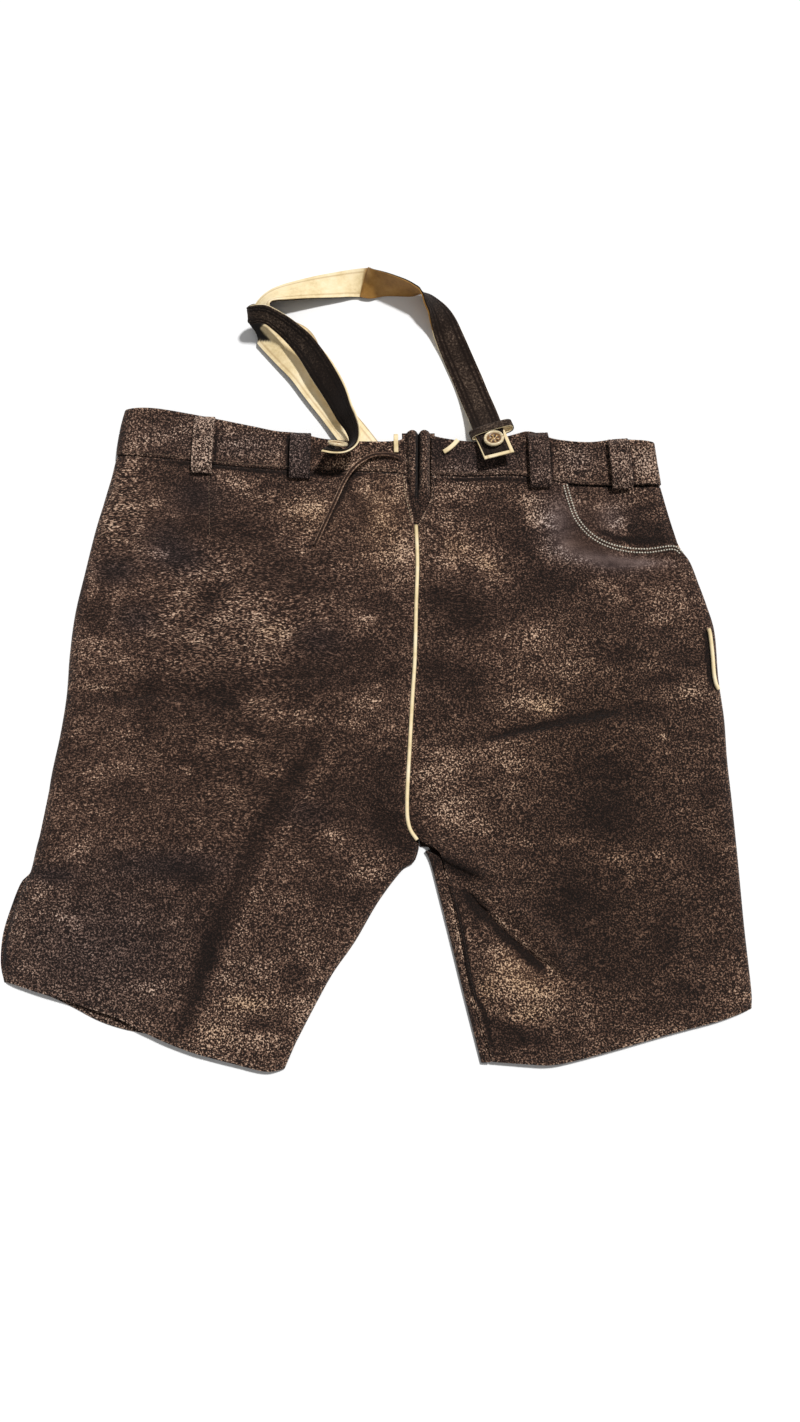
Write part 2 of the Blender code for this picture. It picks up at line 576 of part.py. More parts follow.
STRAP_LEFT = [
    (-46, 180.6, 28.8, -54), (-37.5, 177.8, 29.4, -60), (-28.6, 177.4, 29.4, -66), (-21.6, 183, 28.6, -69),
    (-20.6, 194, 28, -70), (-24.1, 205, 26.6, -67), (-30.5, 216.6, 25.4, -58), (-39, 235, 25, -46),
    (-52.3, 257.6, 26, -39), (-65.3, 277.7, 26.6, -47), (-77.6, 291.2, 27, -58), (-89.4, 301.8, 26.6, -67),
    (-100.4, 308.8, 28.6, -76), (-108, 310.6, 29.2, -80), (-113.4, 311, 28.4, -83),
    (-117.4, 311.4, 26.4, -86), (-119.6, 313.2, 23.4, -91), (-117.4, 315.4, 17.6, -112),
    (-110.8, 310.6, 11.8, -146), (-99.2, 298, 6.9, -166), (-83.6, 280.8, 5.5, -174), (-69.9, 265.7, 5.5, -178),
    (-55.6, 245.8, 5, -180), (-40.5, 225.9, 4.9, -180), (-30.1, 211.3, 5.6, -180),
    (-22.5, 200.1, 7.8, -180), (-15, 190.1, 8.2, -180), (2.6, 165.8, 8.2, -180),
]


def place_on(stations, run_in):
    """The frame of a strip at a distance from its first end."""
    whole = lengths(smooth_curve(stations))[-1]
    middle, side, outward, run = strip_frames(stations, np.array([run_in / whole]))
    return middle[0], side[0], outward[0], run[0]


def keeper(collection, material):
    """A narrow loop round the right strap, just above its button."""
    centre, side, up, run = place_on(STRAP_RIGHT, KEEPER_AT)
    half = run * KEEPER_WIDTH / 2
    rows = []
    for angle in np.linspace(2 * math.pi, 0, 29)[:-1]:
        c, s = math.cos(angle), math.sin(angle)
        out = math.copysign(abs(c) ** 0.6, c) * KEEPER_REACH + 2.4
        high = math.copysign(abs(s) ** 0.7, s) * (KEEPER_RISE + c)
        middle = centre + side * out + up * high
        rows.append([middle - half, middle + half])
    sheet("keeper_right", np.array(rows), material, KEEPER_THICKNESS, collection, closed=True, offset=0.0)


# A button's half section as (radius, height), from the middle of its face round to its back.
BUTTON_SECTION = [
    (0, 2.0), (3.2, 2.2), (5.4, 2.5), (6.6, 3.3), (7.9, 3.9), (BUTTON_RADIUS, 3.0),
    (BUTTON_RADIUS, 1.8), (7.6, 0.5), (4.8, 0), (0, 0),
]


def button(name, stations, run_in, collection, material):
    """A turned horn button with a dished face and a raised rim, on a strap's outer face."""
    mesh = bpy.data.meshes.new(name)
    edges = [(i, i + 1) for i in range(len(BUTTON_SECTION) - 1)]
    mesh.from_pydata([(radius * MM, 0, z * MM) for radius, z in BUTTON_SECTION], edges, [])
    mesh.materials.append(material)
    obj = bpy.data.objects.new(name, mesh)
    middle, _, outward, _ = place_on(stations, run_in)
    seat = middle + outward * (STRAP_THICKNESS / 2 + BUTTON_CLEAR) - CENTRE
    obj.location = seat * MM
    obj.rotation_euler = Vector(outward).to_track_quat("Z", "Y").to_euler()
    collection.objects.link(obj)
    turned = obj.modifiers.new("turned", "SCREW")
    turned.steps = BUTTON_STEPS
    turned.render_steps = BUTTON_STEPS
    turned.use_merge_vertices = True
    turned.merge_threshold = 0.00001
    turned.use_smooth_shade = True


# The free lace and the two cream loops, as (x, y, room above the leather).
LACE = [
    (20.5, 176, 0.4), (14, 178, 1.2), (4, 178.4, 2.2), (-7, 175.5, 3.4), (-20, 165.5, 5.0),
    (-29.5, 151.5, 6.0), (-39, 129.5, 5.4), (-47.5, 111, 3.2), (-56, 93, 0.5),
]
LACE_LOOP_LEFT = [(17.5, 181, 0.3), (17.3, 188, 1.2), (17.2, 195, 0.8), (17.2, 199, -2.0)]
LACE_LOOP_RIGHT = [(61, 181.5, 0.3), (65.5, 184, 1.6), (70, 188, 1.4), (74, 193, 0.3)]


def laces(collection, dark, cream):
    """The lace from its eyelet to its free end, and a cream loop at each eyelet."""
    route = []
    for x, y, room in LACE:
        skin = band_height if y > 160 else back_height
        route.append((x, y, float(skin(x, y)) + LACE_DIAMETER / 2 + GAP + room))
    tube("lace", route, LACE_DIAMETER, dark, collection, 7.0)
    for name, places in (("lace_loop_left", LACE_LOOP_LEFT), ("lace_loop_right", LACE_LOOP_RIGHT)):
        stations = []
        for x, y, room in places:
            top = float(band_height(x, min(y, 193)))
            stations.append((x, y, top + GAP + 1.3 + room, 0))
        strip(name, stations, LACE_LOOP_WIDTH, LACE_LOOP_THICKNESS, cream, collection, 2.5)


KNIFE_PIPING = [
    (297.6, 16), (298.9, 10), (300.2, -8), (300.8, -25), (302.2, -34), (304.6, -39),
]


def piping(collection, cream):
    """The corded seat seam, and the short length beside the knife pocket."""
    seam = along(SEAM, np.linspace(0.0, 0.985, 30))
    lift = PIPING_DIAMETER / 2 - 1.0
    route = [(x, y, float(back_height(x, y)) + lift) for x, y in seam]
    tube("piping_seat", route, PIPING_DIAMETER, cream, collection, 8.0)
    lift = KNIFE_PIPING_DIAMETER / 2 + 1.0
    route = [(x, y, float(back_height(x, y)) + lift) for x, y in KNIFE_PIPING]
    tube("piping_knife", route, KNIFE_PIPING_DIAMETER, cream, collection, 5.0)


def main():
    collection = clear_scene()
    brown = plain_material("brown nubuck", (0.07, 0.045, 0.034))
    suede = plain_material("dark suede", (0.045, 0.032, 0.026))
    cream = plain_material("cream leather", (0.78, 0.66, 0.42), 0.7)
    horn = plain_material("horn", (0.42, 0.28, 0.14), 0.35)
    front_panels(collection, brown)
    inseam_roll(collection, brown)
    back_panels(collection, brown)
    pocket_facing(collection, brown)
    bands(collection, brown)
    gusset(collection, brown)
    piping(collection, cream)
    belt_loops(collection, brown)
    strip("strap_right", STRAP_RIGHT, STRAP_WIDTH, STRAP_THICKNESS, suede, collection)
    strip("strap_left", STRAP_LEFT, STRAP_WIDTH, STRAP_THICKNESS, suede, collection)
    keeper(collection, suede)
    button("button_right", STRAP_RIGHT, BUTTON_RIGHT_AT, collection, horn)
    button("button_left", STRAP_LEFT, BUTTON_LEFT_AT, collection, horn)
    laces(collection, suede, cream)


main()
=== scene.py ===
"""The looks of the leather shorts with braces: worn nubuck, suede straps with cream backs, piping,
stitches, lace and horn buttons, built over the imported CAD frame.

Tables are in millimetres in the pattern's own axes, which `place` moves to the frame's origin and
turns into metres. +X is the wearer's right, +Y is towards the waist and +Z is up. The outlines and
the height of the back are those of part.py; creases, relief and wear are added on top of them.
"""

import json
import math

import bpy
import numpy as np
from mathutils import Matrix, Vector, noise

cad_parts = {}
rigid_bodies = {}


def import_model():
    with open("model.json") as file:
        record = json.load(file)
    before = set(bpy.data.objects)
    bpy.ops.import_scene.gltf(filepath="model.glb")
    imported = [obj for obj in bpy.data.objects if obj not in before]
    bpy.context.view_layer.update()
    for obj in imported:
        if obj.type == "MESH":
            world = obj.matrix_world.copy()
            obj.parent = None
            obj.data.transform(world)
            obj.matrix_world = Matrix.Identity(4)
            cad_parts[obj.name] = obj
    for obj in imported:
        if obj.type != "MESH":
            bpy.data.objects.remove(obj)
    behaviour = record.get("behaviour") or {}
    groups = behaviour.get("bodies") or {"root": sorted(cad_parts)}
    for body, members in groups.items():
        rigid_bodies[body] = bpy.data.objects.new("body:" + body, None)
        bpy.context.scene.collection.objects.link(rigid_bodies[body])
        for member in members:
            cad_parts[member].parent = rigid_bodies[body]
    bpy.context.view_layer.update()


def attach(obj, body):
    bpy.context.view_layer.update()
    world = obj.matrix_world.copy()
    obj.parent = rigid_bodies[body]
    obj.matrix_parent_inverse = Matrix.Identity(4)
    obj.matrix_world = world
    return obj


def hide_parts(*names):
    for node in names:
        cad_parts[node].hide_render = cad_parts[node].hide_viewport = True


MM = 0.001
CENTRE = np.array([-0.63, 1.0, 0.0])
BODY = "root"

# Driving dimensions of the leather goods.
LEATHER = 1.6
FACING_THICKNESS = 1.4
BAND_THICKNESS = 2.6
STRAP_WIDTH = 28.0
STRAP_THICKNESS = 2.6
LOOP_WIDTH = 19.0
LOOP_THICKNESS = 2.2
LOOP_ROOM = 4.9
LOOP_ROWS = (-6.3, 6.3)
PIPING_DIAMETER = 3.4
LACE_WIDTH = 3.8
LACE_THICKNESS = 2.2
LACE_SIDES = 16
LACE_LOOP_WIDTH = 4.2
LACE_LOOP_THICKNESS = 1.6
BUTTON_RADIUS = 9.2
BUTTON_CLEAR = 2.4
SHANK_DIAMETER = 4.4
BUTTON_RIGHT_AT = 17.0
BUTTON_LEFT_AT = 10.5
KEEPER_AT = 33.0
KEEPER_WIDTH = 7.6
KEEPER_REACH = 19.6
KEEPER_RISE = 4.6
KEEPER_SHIFT = 2.4
KEEPER_LAYER = 0.85
KEEPER_OFFSET = 0.45
GUSSET_THICKNESS = 1.2
GAP = 0.35
LAYER_GAP = 0.02
STRIP_GAP = 1.0

# Spacing of the fine grids.
PANEL_STEP = 2.5
BAND_STEP = 1.7
STRAP_STEP = 1.6

# Heights of the back's outer skin, as in part.py.
EDGE_HEIGHT = 3.4
SEAT_CROWN = 8.8
LEG_CROWN = 7.8
LEG_LEVEL = -200.0
SEAT_LEVEL = 50.0
HEM_SHARE = 0.84
HEM_REACH = 90.0
EDGE_ROUND = 14.0
EDGE_SHARE = 0.74
CROWN_REACH = 85.0
FOLD_FADE = 16.0
SEAM_DIP = 1.8
SEAM_DIP_WIDTH = 5.0
BAND_LIFT = 1.4
BAND_EDGE_LIFT = 3.1
BAND_LIFT_REACH = 40.0
BAND_BOTTOM = 160.0
ROLL_START = 4.0
ROLL_TOP = 0.02
ROLL = [(0.14, 0.5), (0.0, 2.3), (0.08, None), (0.3, None), (0.62, None), (1.0, None)]

# Outlines, as points (x, y) that smooth curves pass through, as in part.py.
SIDE_LEFT = [(-241, 181), (-247, 152), (-257, 114), (-266, 69), (-273, 31), (-276, -6),
             (-277, -42), (-281, -78), (-287, -114), (-291, -150), (-297, -178), (-301, -199),
             (-307, -212), (-314, -233), (-319.5, -256), (-321, -277), (-318, -293)]
SLIT_LEFT = [(-241, 181), (-257, 114), (-273, 31), (-277, -42), (-287, -114), (-297, -178),
             (-301, -199), (-309.5, -209), (-317, -230), (-323, -254), (-323.5, -278), (-319.5, -294)]
SIDE_RIGHT = [(261, 152), (268.5, 122), (276, 97), (285, 81), (292, 61), (299, 39), (305, 14),
              (306.5, -28), (310, -65), (311, -102), (313.5, -140), (316, -185), (319, -247),
              (322.5, -300), (322, -316)]
INSEAM_LEFT = [(36, -178), (33.5, -191), (22.5, -199), (2, -226), (-18, -260), (-37, -287),
               (-52, -314), (-66, -341), (-77, -366)]
INSEAM_RIGHT = [(41, -179), (47.5, -191.5), (55, -220), (65, -260), (76, -305), (90, -361)]
STRIP_SEAM = [(55, -184), (62, -207), (72, -250), (81, -299), (91, -335), (99, -360)]
SEAT_SEAM = [(35.6, 113), (36.8, 78), (35.6, 40), (34.3, -10), (32, -47), (29.6, -90), (27.2, -138),
             (29, -161), (38.5, -176)]
NOTCH_LEFT = [(26.5, 160), (28.5, 140), (32, 125), (34, 113)]
NOTCH_RIGHT = [(49.6, 160), (49.4, 140), (44, 126), (37.4, 113)]
HEM_LEFT = [(-318, -293), (-287, -303), (-262, -310), (-240, -317), (-217, -325), (-198, -335),
            (-159, -351), (-114, -363), (-92, -368), (-77, -366)]
FRONT_HEM_LEFT = [(-319.5, -294), (-287, -303.5), (-262, -314), (-238, -326), (-217, -333), (-190, -339),
                  (-159, -350), (-114, -361), (-90, -366), (-77.5, -363)]
HEM_RIGHT = [(90, -361), (130, -362.5), (150, -363), (171, -359), (212, -348), (253, -336.5),
             (294, -326), (322, -316)]
BAND_SEAM_LEFT = [(-241, 181), (-172, 174), (-149, 170), (-83, 165), (-25, 164), (13, 162.5), (26.5, 160)]
BAND_SEAM_RIGHT = [(49.6, 160), (84, 158.5), (126, 159.5), (175, 152), (214, 150.5), (261, 152)]
BAND_TOP_LEFT = [(-235, 225), (-205, 225.5), (-161, 217), (-116, 207.5), (-93, 202.5), (-71.5, 200.5),
                 (-49, 195), (-15, 192.5), (16, 193), (25, 196)]
BAND_TOP_RIGHT = [(50, 198.5), (62, 195.5), (84, 192.5), (104, 193), (127, 199.5), (141, 202),
                  (165, 194.5), (195, 192), (222, 195), (256.5, 193)]
BAND_END_LEFT = [(25, 196), (26, 178), (26.5, 160.6)]
BAND_END_RIGHT = [(50, 198.5), (49.8, 178), (49.6, 160.6)]
BAND_SIDE_LEFT = [(-235, 225), (-239, 205), (-241, 181.6)]
BAND_SIDE_RIGHT = [(256.5, 193), (258.5, 174), (261, 152.6)]
SCOOP = [(175, 152), (179, 136), (184.5, 120), (195, 106.5), (209, 97.5), (226, 93), (246, 92),
         (270, 95), (285, 81)]
# The sewn rows of the pocket mouth end a little before the side.
MOUTH = SCOOP[:-1] + [(280, 89)]

# Troughs (depth below 0) and ridges of part.py: both ends, sideways bow, height and width.
FOLD_OVER = 0.12
FOLD_TAPER = 0.3
FOLDS = [
    (10, -35, -160, -322, 12, -2.6, 20), (40, -70, -110, -330, 10, 1.8, 22),
    (-60, -120, -215, -300, 8, 1.6, 20), (84, -84, 232, -52, 6, -2.4, 8),
    (90, -98, 240, -72, 6, 1.4, 12), (-278, -40, -70, -52, 4, -1.5, 10),
    (-284, -92, -200, -98, 2, -1.6, 9), (-10, -150, 34, -190, 4, -3.4, 11),
    (2, -128, 40, -170, 3, 1.5, 9), (44, -172, 96, -198, -5, 3.4, 7),
    (56, -196, 100, -214, -3, -4.2, 6), (84, -206, 168, -286, 5, 3.8, 9),
    (74, -214, 160, -296, 5, -3.6, 8), (120, -322, 150, -348, 3, -1.8, 8),
    (-24, 146, 10, 96, -6, -2.2, 9), (-52, 150, -44, 100, 5, 1.4, 12), (60, 60, 120, 20, 6, 1.4, 18),
    (190, -120, 300, -190, 10, -1.8, 20), (215, 84, 280, 78, 2, -1.8, 6),
]

# Finer creases of the soft leather: height, width and the points of a smooth line.
CREASES = [
    (-2, 5, (-28, -40), (-42, -72), (-60, -102), (-80, -134), (-98, -160)),
    (-1.2, 9, (-98, -160), (-120, -210), (-140, -260), (-160, -322)),
    (0.9, 5, (-40, -52), (-56, -84), (-76, -116), (-94, -140)),
    (-1.5, 3.6, (-277, -36), (-250, -41), (-222, -46), (-200, -43), (-176, -47), (-150, -50),
     (-128, -54)),
    (0.8, 4, (-276, -29), (-248, -34), (-222, -38), (-198, -35)),
    (-0.9, 4, (-206, -30), (-196, -52), (-194, -76)),
    (-0.8, 3.5, (-283, -90), (-256, -88), (-226, -92)),
    (-0.8, 5, (-88, -10), (-58, -16), (-34, -10), (-18, 0)),
    (-0.9, 4.5, (-84, -30), (-56, -30), (-34, -24), (-20, -12)),
    (-0.8, 5, (8, -12), (14, -34), (10, -58)),
    (-0.6, 4, (-262, 28), (-248, 20), (-236, 16)),
    (-0.5, 3.5, (-164, 150), (-154, 128), (-152, 100)),
    (-1.4, 4, (20, -148), (4, -128), (-14, -112)),
    (-1.2, 4, (20, -160), (-4, -146), (-30, -140)),
    (1.1, 4.5, (24, -138), (10, -120), (2, -100)),
    (-1.5, 5, (8, -104), (14, -118), (14, -140)),
    (-1.5, 3.2, (84, -86), (104, -81), (140, -74), (182, -64), (222, -57)),
    (0.8, 4, (92, -78), (140, -66), (190, -56)),
    (-0.7, 4, (66, -20), (84, -30), (104, -32)),
    (-0.7, 4, (52, 46), (78, 40), (100, 24)),
    (-0.6, 4, (240, 26), (262, 18), (290, 16)),
    (-0.8, 5, (214, -66), (248, -60), (290, -66)),
    (-1.3, 4, (40, -112), (48, -138), (64, -160)),
    (1.4, 5, (46, -172), (70, -180), (94, -194), (110, -212)),
    (-1.6, 4, (92, -320), (108, -330), (130, -346)),
    (-0.7, 5, (190, -200), (230, -214), (276, -250)),
    (-0.7, 4, (172, -300), (190, -326), (214, -342)),
    (-1.3, 3.6, (-12, 152), (-16, 132), (-10, 108)),
    (1.2, 5, (-2, 146), (-1, 128), (6, 108)),
    (-0.9, 4, (10, 150), (14, 130), (22, 108)),
    (-0.8, 4, (58, 152), (62, 134), (58, 112)),
    (-0.6, 4, (-98, 146), (-70, 144), (-52, 150)),
]
CREASE_TAPER = 0.22
CREASE_FADE = 10.0

# The fold that laps over on the right leg and the one above it at the crotch: a steep wall that
# faces the lower left, and leather that falls away gently behind it. A row holds its height, the
# wall's width, the reach behind it, the hollow before it, and the points of a smooth line.
LAPS = [
    (5.4, 1.6, 26, 1.4, (72, -206), (84, -219), (100, -236), (116, -253), (133, -267), (150, -279),
     (164, -292)),
    (4.6, 1.3, 18, 1.6, (43, -179), (56, -187), (72, -195), (88, -203), (98, -208)),
    (1.6, 2.2, 24, 0.5, (86, -318), (98, -328), (116, -340), (134, -348)),
]
HOLLOW_REACH = 9.0

# Uneven relief of the whole skin: size of its waves and height. They are a little shorter in y.
RELIEF = [(64.0, 0.9), (24.0, 0.42), (9.0, 0.16)]
RELIEF_SQUASH = 0.8

# Light places and dark ones, mostly wear and random tone: middle (x, y), reach along and across, and change
# of tone, of cool (below 0 is warm) and of direction in degrees, where there is one. The dark rows along the
# hip crease, the seat's other creases and the crease above the right hem, the one under the lap at the
# crotch, the two darkest in the crotch hollow and the narrow one at the band's left end are painted shade.
# The small light one on the right leg's lap ridge is a painted highlight.
SEAT_LEFT_LIGHT = [
    (-202, 134, 6, 5, 0.9), (-185, 124, 8, 4, 0.6), (-215, 115, 4, 10, 0.5), (-232, 130, 12, 4, 0.35),
    (-243, 112, 8, 8, 0.45), (-255, 95, 5, 14, 0.5), (-212, 88, 14, 6, 0.8, 0, -14),
    (-196, 85, 8, 5, 0.7), (-232, 98, 12, 3, 0.35), (-257, 62, 5, 12, 0.9), (-232, 50, 9, 5, 0.6),
    (-257, 48, 4, 5, 0.6), (-233, 36, 5, 5, 0.6), (-240, 24, 5, 6, 0.45), (-258, 5, 14, 7, 0.55),
    (-232, 6, 8, 5, 0.35), (-265, -8, 8, 5, 0.4), (-228, -12, 10, 5, 0.5),
    (-248, -37, 14, 3, 0.5, 0, -8), (-262, -74, 9, 10, 0.5), (-228, -78, 8, 5, 0.3),
    (-213, -80, 6, 3, 0.5), (-230, -105, 30, 14, 0.35), (-250, -125, 20, 10, 0.35),
    (-225, 180, 10, 12, 0.3), (-92, 172, 12, 8, 0.4), (-30, 172, 18, 8, 0.5),
    (-128, 153, 16, 8, 0.5, 0, -30), (-110, 140, 14, 7, 0.35), (-142, 140, 10, 10, 0.25),
    (-62, 129, 18, 6, 1), (-80, 128, 8, 4, 0.5), (-8, 143, 10, 8, 0.8, 0, -40),
    (4, 125, 9, 16, 0.8, 0, -10), (-12, 152, 8, 5, 0.6), (20, 150, 8, 14, 0.7), (25, 90, 12, 16, 0.8),
    (5, 85, 15, 10, 0.4), (-38, 75, 8, 5, 0.5), (-67, 86, 8, 5, 0.45), (18, 62, 10, 10, 0.35),
    (-92, 14, 14, 8, 0.7, -0.4), (-82, 10, 6, 5, 0.6), (-103, 24, 10, 6, 0.4), (-12, 25, 10, 5, 0.7),
    (-20, 14, 7, 5, 0.4), (-145, 25, 14, 10, 0.3), (-165, 8, 14, 7, 0.4), (-198, 12, 12, 10, 0.3),
    (-150, 66, 10, 6, 0.35), (-170, 50, 8, 4, 0.4), (-195, 45, 14, 8, 0.25), (-120, 40, 18, 8, 0.3),
    (-112, -52, 12, 5, 0.6), (-100, -12, 14, 10, 0.4), (-62, -66, 18, 8, 0.55), (-90, -62, 20, 6, 0.4),
    (-18, -70, 7, 6, 0.7), (-8, -52, 14, 8, 0.5), (-118, -88, 16, 5, 0.5), (-98, -112, 14, 6, 0.4),
    (-165, -113, 4, 4, 0.8), (-40, -82, 2, 2, 0.9), (-145, -88, 20, 10, 0.3),
    (4, 118, 26, 44, 0.2, -0.6), (-60, 122, 26, 20, 0.2, -0.5),
]
SEAT_LEFT_DARK = [
    (-165, 140, 22, 16, -0.5, 0.8), (-190, 158, 25, 8, -0.35), (-150, 112, 30, 8, -0.4),
    (-120, 105, 20, 12, -0.45), (-90, 75, 25, 16, -0.45), (-60, 55, 30, 10, -0.4),
    (-190, 95, 20, 18, -0.4, 0.9), (-175, 80, 20, 12, -0.4, 0.8), (-235, 70, 20, 12, -0.35, 0.9),
    (-250, 25, 12, 16, -0.7), (-215, 25, 18, 12, -0.3, 0.8), (-150, 42, 12, 20, -0.5),
    (-200, -35, 20, 8, -0.45), (-150, -42, 28, 8, -0.5), (-130, -52, 10, 6, -0.6),
    (-200, -60, 10, 25, -0.5), (-232, -48, 35, 5, -0.7, 0, -4), (-50, 5, 20, 14, -0.4, 0.6),
    (-55, -22, 35, 7, -0.5, 0, 8), (-30, -33, 30, 5, -0.5, 0, 12), (-10, -10, 16, 14, -0.4),
    (15, -25, 12, 14, -0.45), (10, 30, 14, 18, -0.3), (10, -55, 15, 8, -0.4), (12, -105, 14, 10, -0.8),
    (10, -140, 16, 25, -0.5), (-90, -100, 120, 70, -0.2, -0.2),
]
LEG_LEFT_TONES = [
    (-40, -172, 18, 10, 0.5, 0, -40), (-72, -190, 12, 8, 0.4), (-262, -180, 20, 8, 0.5),
    (-290, -210, 8, 8, 0.5), (-293, -222, 5, 5, 0.5), (-268, -240, 10, 10, 0.2),
    (-250, -150, 20, 12, 0.35), (-158, -180, 8, 4, 0.5), (-150, -158, 14, 4, 0.5),
    (-130, -205, 14, 12, 0.35), (-125, -128, 8, 5, 0.4), (-110, -312, 20, 7, 0.9, -0.6),
    (-135, -335, 18, 10, 0.8, -0.3), (-100, -340, 14, 6, 0.6), (-62, -315, 14, 14, 0.6),
    (-60, -265, 20, 14, 0.4), (-130, -290, 14, 8, 0.45), (-90, -285, 14, 10, 0.4),
    (-190, -300, 14, 6, 0.4), (-75, -225, 12, 8, 0.4), (-10, -205, 16, 8, 0.5),
    (-280, -203, 18, 7, -0.7, 0.8), (-180, -195, 50, 12, -0.45, 0.8), (-150, -205, 30, 6, -0.5),
    (-60, -150, 22, 12, -0.4, 0.6), (-195, -222, 6, 3, -0.5), (-240, -265, 80, 60, -0.3, 0.7),
    (-20, -225, 20, 12, -0.4), (-140, -255, 16, 30, -0.4, 0, -20), (-95, -332, 16, 8, -0.5),
    (-70, -285, 10, 8, -0.5), (12, -163, 20, 12, -1.2), (28, -178, 14, 12, -1.4),
]
SEAT_RIGHT_LIGHT = [
    (75, 140, 18, 8, 0.35), (145, 118, 10, 8, 0.7), (140, 135, 16, 8, 0.4), (108, 150, 35, 5, 0.35),
    (64, 122, 5, 3, 0.7), (72, 92, 12, 14, 0.6, -0.5), (100, 76, 14, 8, 0.7, -0.5, -40),
    (60, 82, 10, 8, 0.4), (45, 105, 6, 10, 0.3), (217, 44, 7, 6, 0.8), (208, 56, 16, 6, 0.5),
    (245, 50, 14, 8, 0.4), (253, 26, 8, 6, 0.5), (270, 40, 16, 12, 0.35), (282, 68, 8, 8, 0.5),
    (175, -20, 16, 20, 0.35), (150, -55, 12, 10, 0.8, -0.4), (130, -50, 16, 10, 0.4),
    (205, -20, 6, 4, 0.6), (245, -18, 14, 8, 0.4), (280, -42, 12, 8, 0.5), (254, -82, 4, 3, 1),
    (142, 8, 12, 8, 0.4), (112, 10, 8, 8, 0.3), (70, -105, 30, 14, 0.35), (55, -115, 14, 10, 0.4),
    (120, -108, 10, 8, 0.4), (120, -130, 6, 14, 0.4), (75, -145, 30, 10, 0.35, 0, -20),
    (110, -90, 16, 8, 0.3), (215, 120, 16, 16, 0.6, 0.9),
]
SEAT_RIGHT_DARK = [
    (165, 115, 18, 30, 0.75, 1.3), (200, 80, 35, 10, 0.85, 1.3, -12), (240, 78, 30, 6, 0.7, 1.1),
    (240, 130, 30, 3, -0.7, 0, 15), (250, 105, 20, 14, -0.8), (235, 115, 6, 10, -0.6),
    (155, 55, 25, 22, -0.7), (60, 45, 20, 12, -0.6), (85, 25, 18, 20, -0.6), (75, -28, 20, 12, -0.9),
    (50, -20, 16, 14, -0.7), (85, -50, 14, 14, -0.5), (50, -60, 16, 16, -0.4), (215, -10, 16, 10, -0.5),
    (280, -12, 16, 10, -0.6), (245, -60, 40, 8, -0.5), (275, -80, 20, 10, -0.4),
    (200, -110, 30, 14, -0.6), (200, -140, 40, 20, -0.6), (260, -30, 22, 5, -0.5),
    (110, 125, 20, 10, -0.3), (130, 100, 20, 14, -0.45), (290, -120, 10, 20, -0.3),
    (150, -72, 70, 5, -0.6, 0, 11), (190, -70, 110, 90, -0.22, -0.3),
]
LEG_RIGHT_TONES = [
    (112, -275, 14, 12, 0.7, -0.3), (140, -300, 22, 12, 0.8, -0.4), (120, -290, 20, 16, 0.6, -0.4),
    (95, -300, 10, 14, 0.5, -0.5), (100, -245, 10, 8, 0.5, 0, -45), (130, -320, 20, 8, 0.6, -0.5),
    (60, -150, 20, 14, 0.4, 0, -40), (90, -165, 20, 10, 0.3, 0, -30), (130, -175, 8, 4, 0.6, 0, -30),
    (215, -190, 14, 8, 0.5), (245, -185, 12, 5, 0.5), (222, -205, 8, 8, 0.4),
    (240, -335, 20, 7, 0.5, 0, 16), (288, -160, 8, 8, 0.35), (180, -325, 10, 15, 0.35),
    (150, -285, 4, 4, 0.7), (170, -170, 18, 6, 0.35), (175, -240, 40, 25, -0.7),
    (200, -275, 35, 20, -0.6), (250, -255, 12, 25, -0.7, 0, -10), (280, -190, 20, 16, -0.4, 0, -40),
    (265, -300, 14, 8, -0.5), (165, -215, 14, 14, -0.5), (120, -335, 25, 6, -0.8, 0, -20),
    (110, -345, 20, 6, -0.5), (200, -160, 40, 12, -0.4), (86, -240, 8, 22, -0.5, 0, 24),
    (70, -196, 26, 6, -0.9, 0, -24), (215, -230, 120, 110, -0.36, -0.3),
]
BAND_TONES = [
    (-190, 198, 50, 18, 0.2, 0.3), (-120, 188, 40, 14, 0.1, 0.6), (-238, 196, 5, 16, -0.9),
    (78, 180, 30, 18, -0.3, 0.6), (56, 184, 8, 14, -0.4, 0.3), (110, 176, 30, 12, -0.2, 0.6),
    (185, 176, 20, 16, 0.1, 0.5), (245, 172, 16, 16, 0.6, 0.3), (90, 166, 40, 5, 0.3, 0.3),
    (-60, 184, 14, 4, -0.5), (-38, 177, 12, 3, -0.6), (10, 176, 10, 4, -0.4),
]
PATCHES = (SEAT_LEFT_LIGHT + SEAT_LEFT_DARK + LEG_LEFT_TONES + SEAT_RIGHT_LIGHT + SEAT_RIGHT_DARK
           + LEG_RIGHT_TONES + BAND_TONES)

# Dark places that overlap never go below this change of tone.
DARKEST = -0.62
# Change of tone on the worn edges of a sheet.
EDGE_WEAR = 0.45
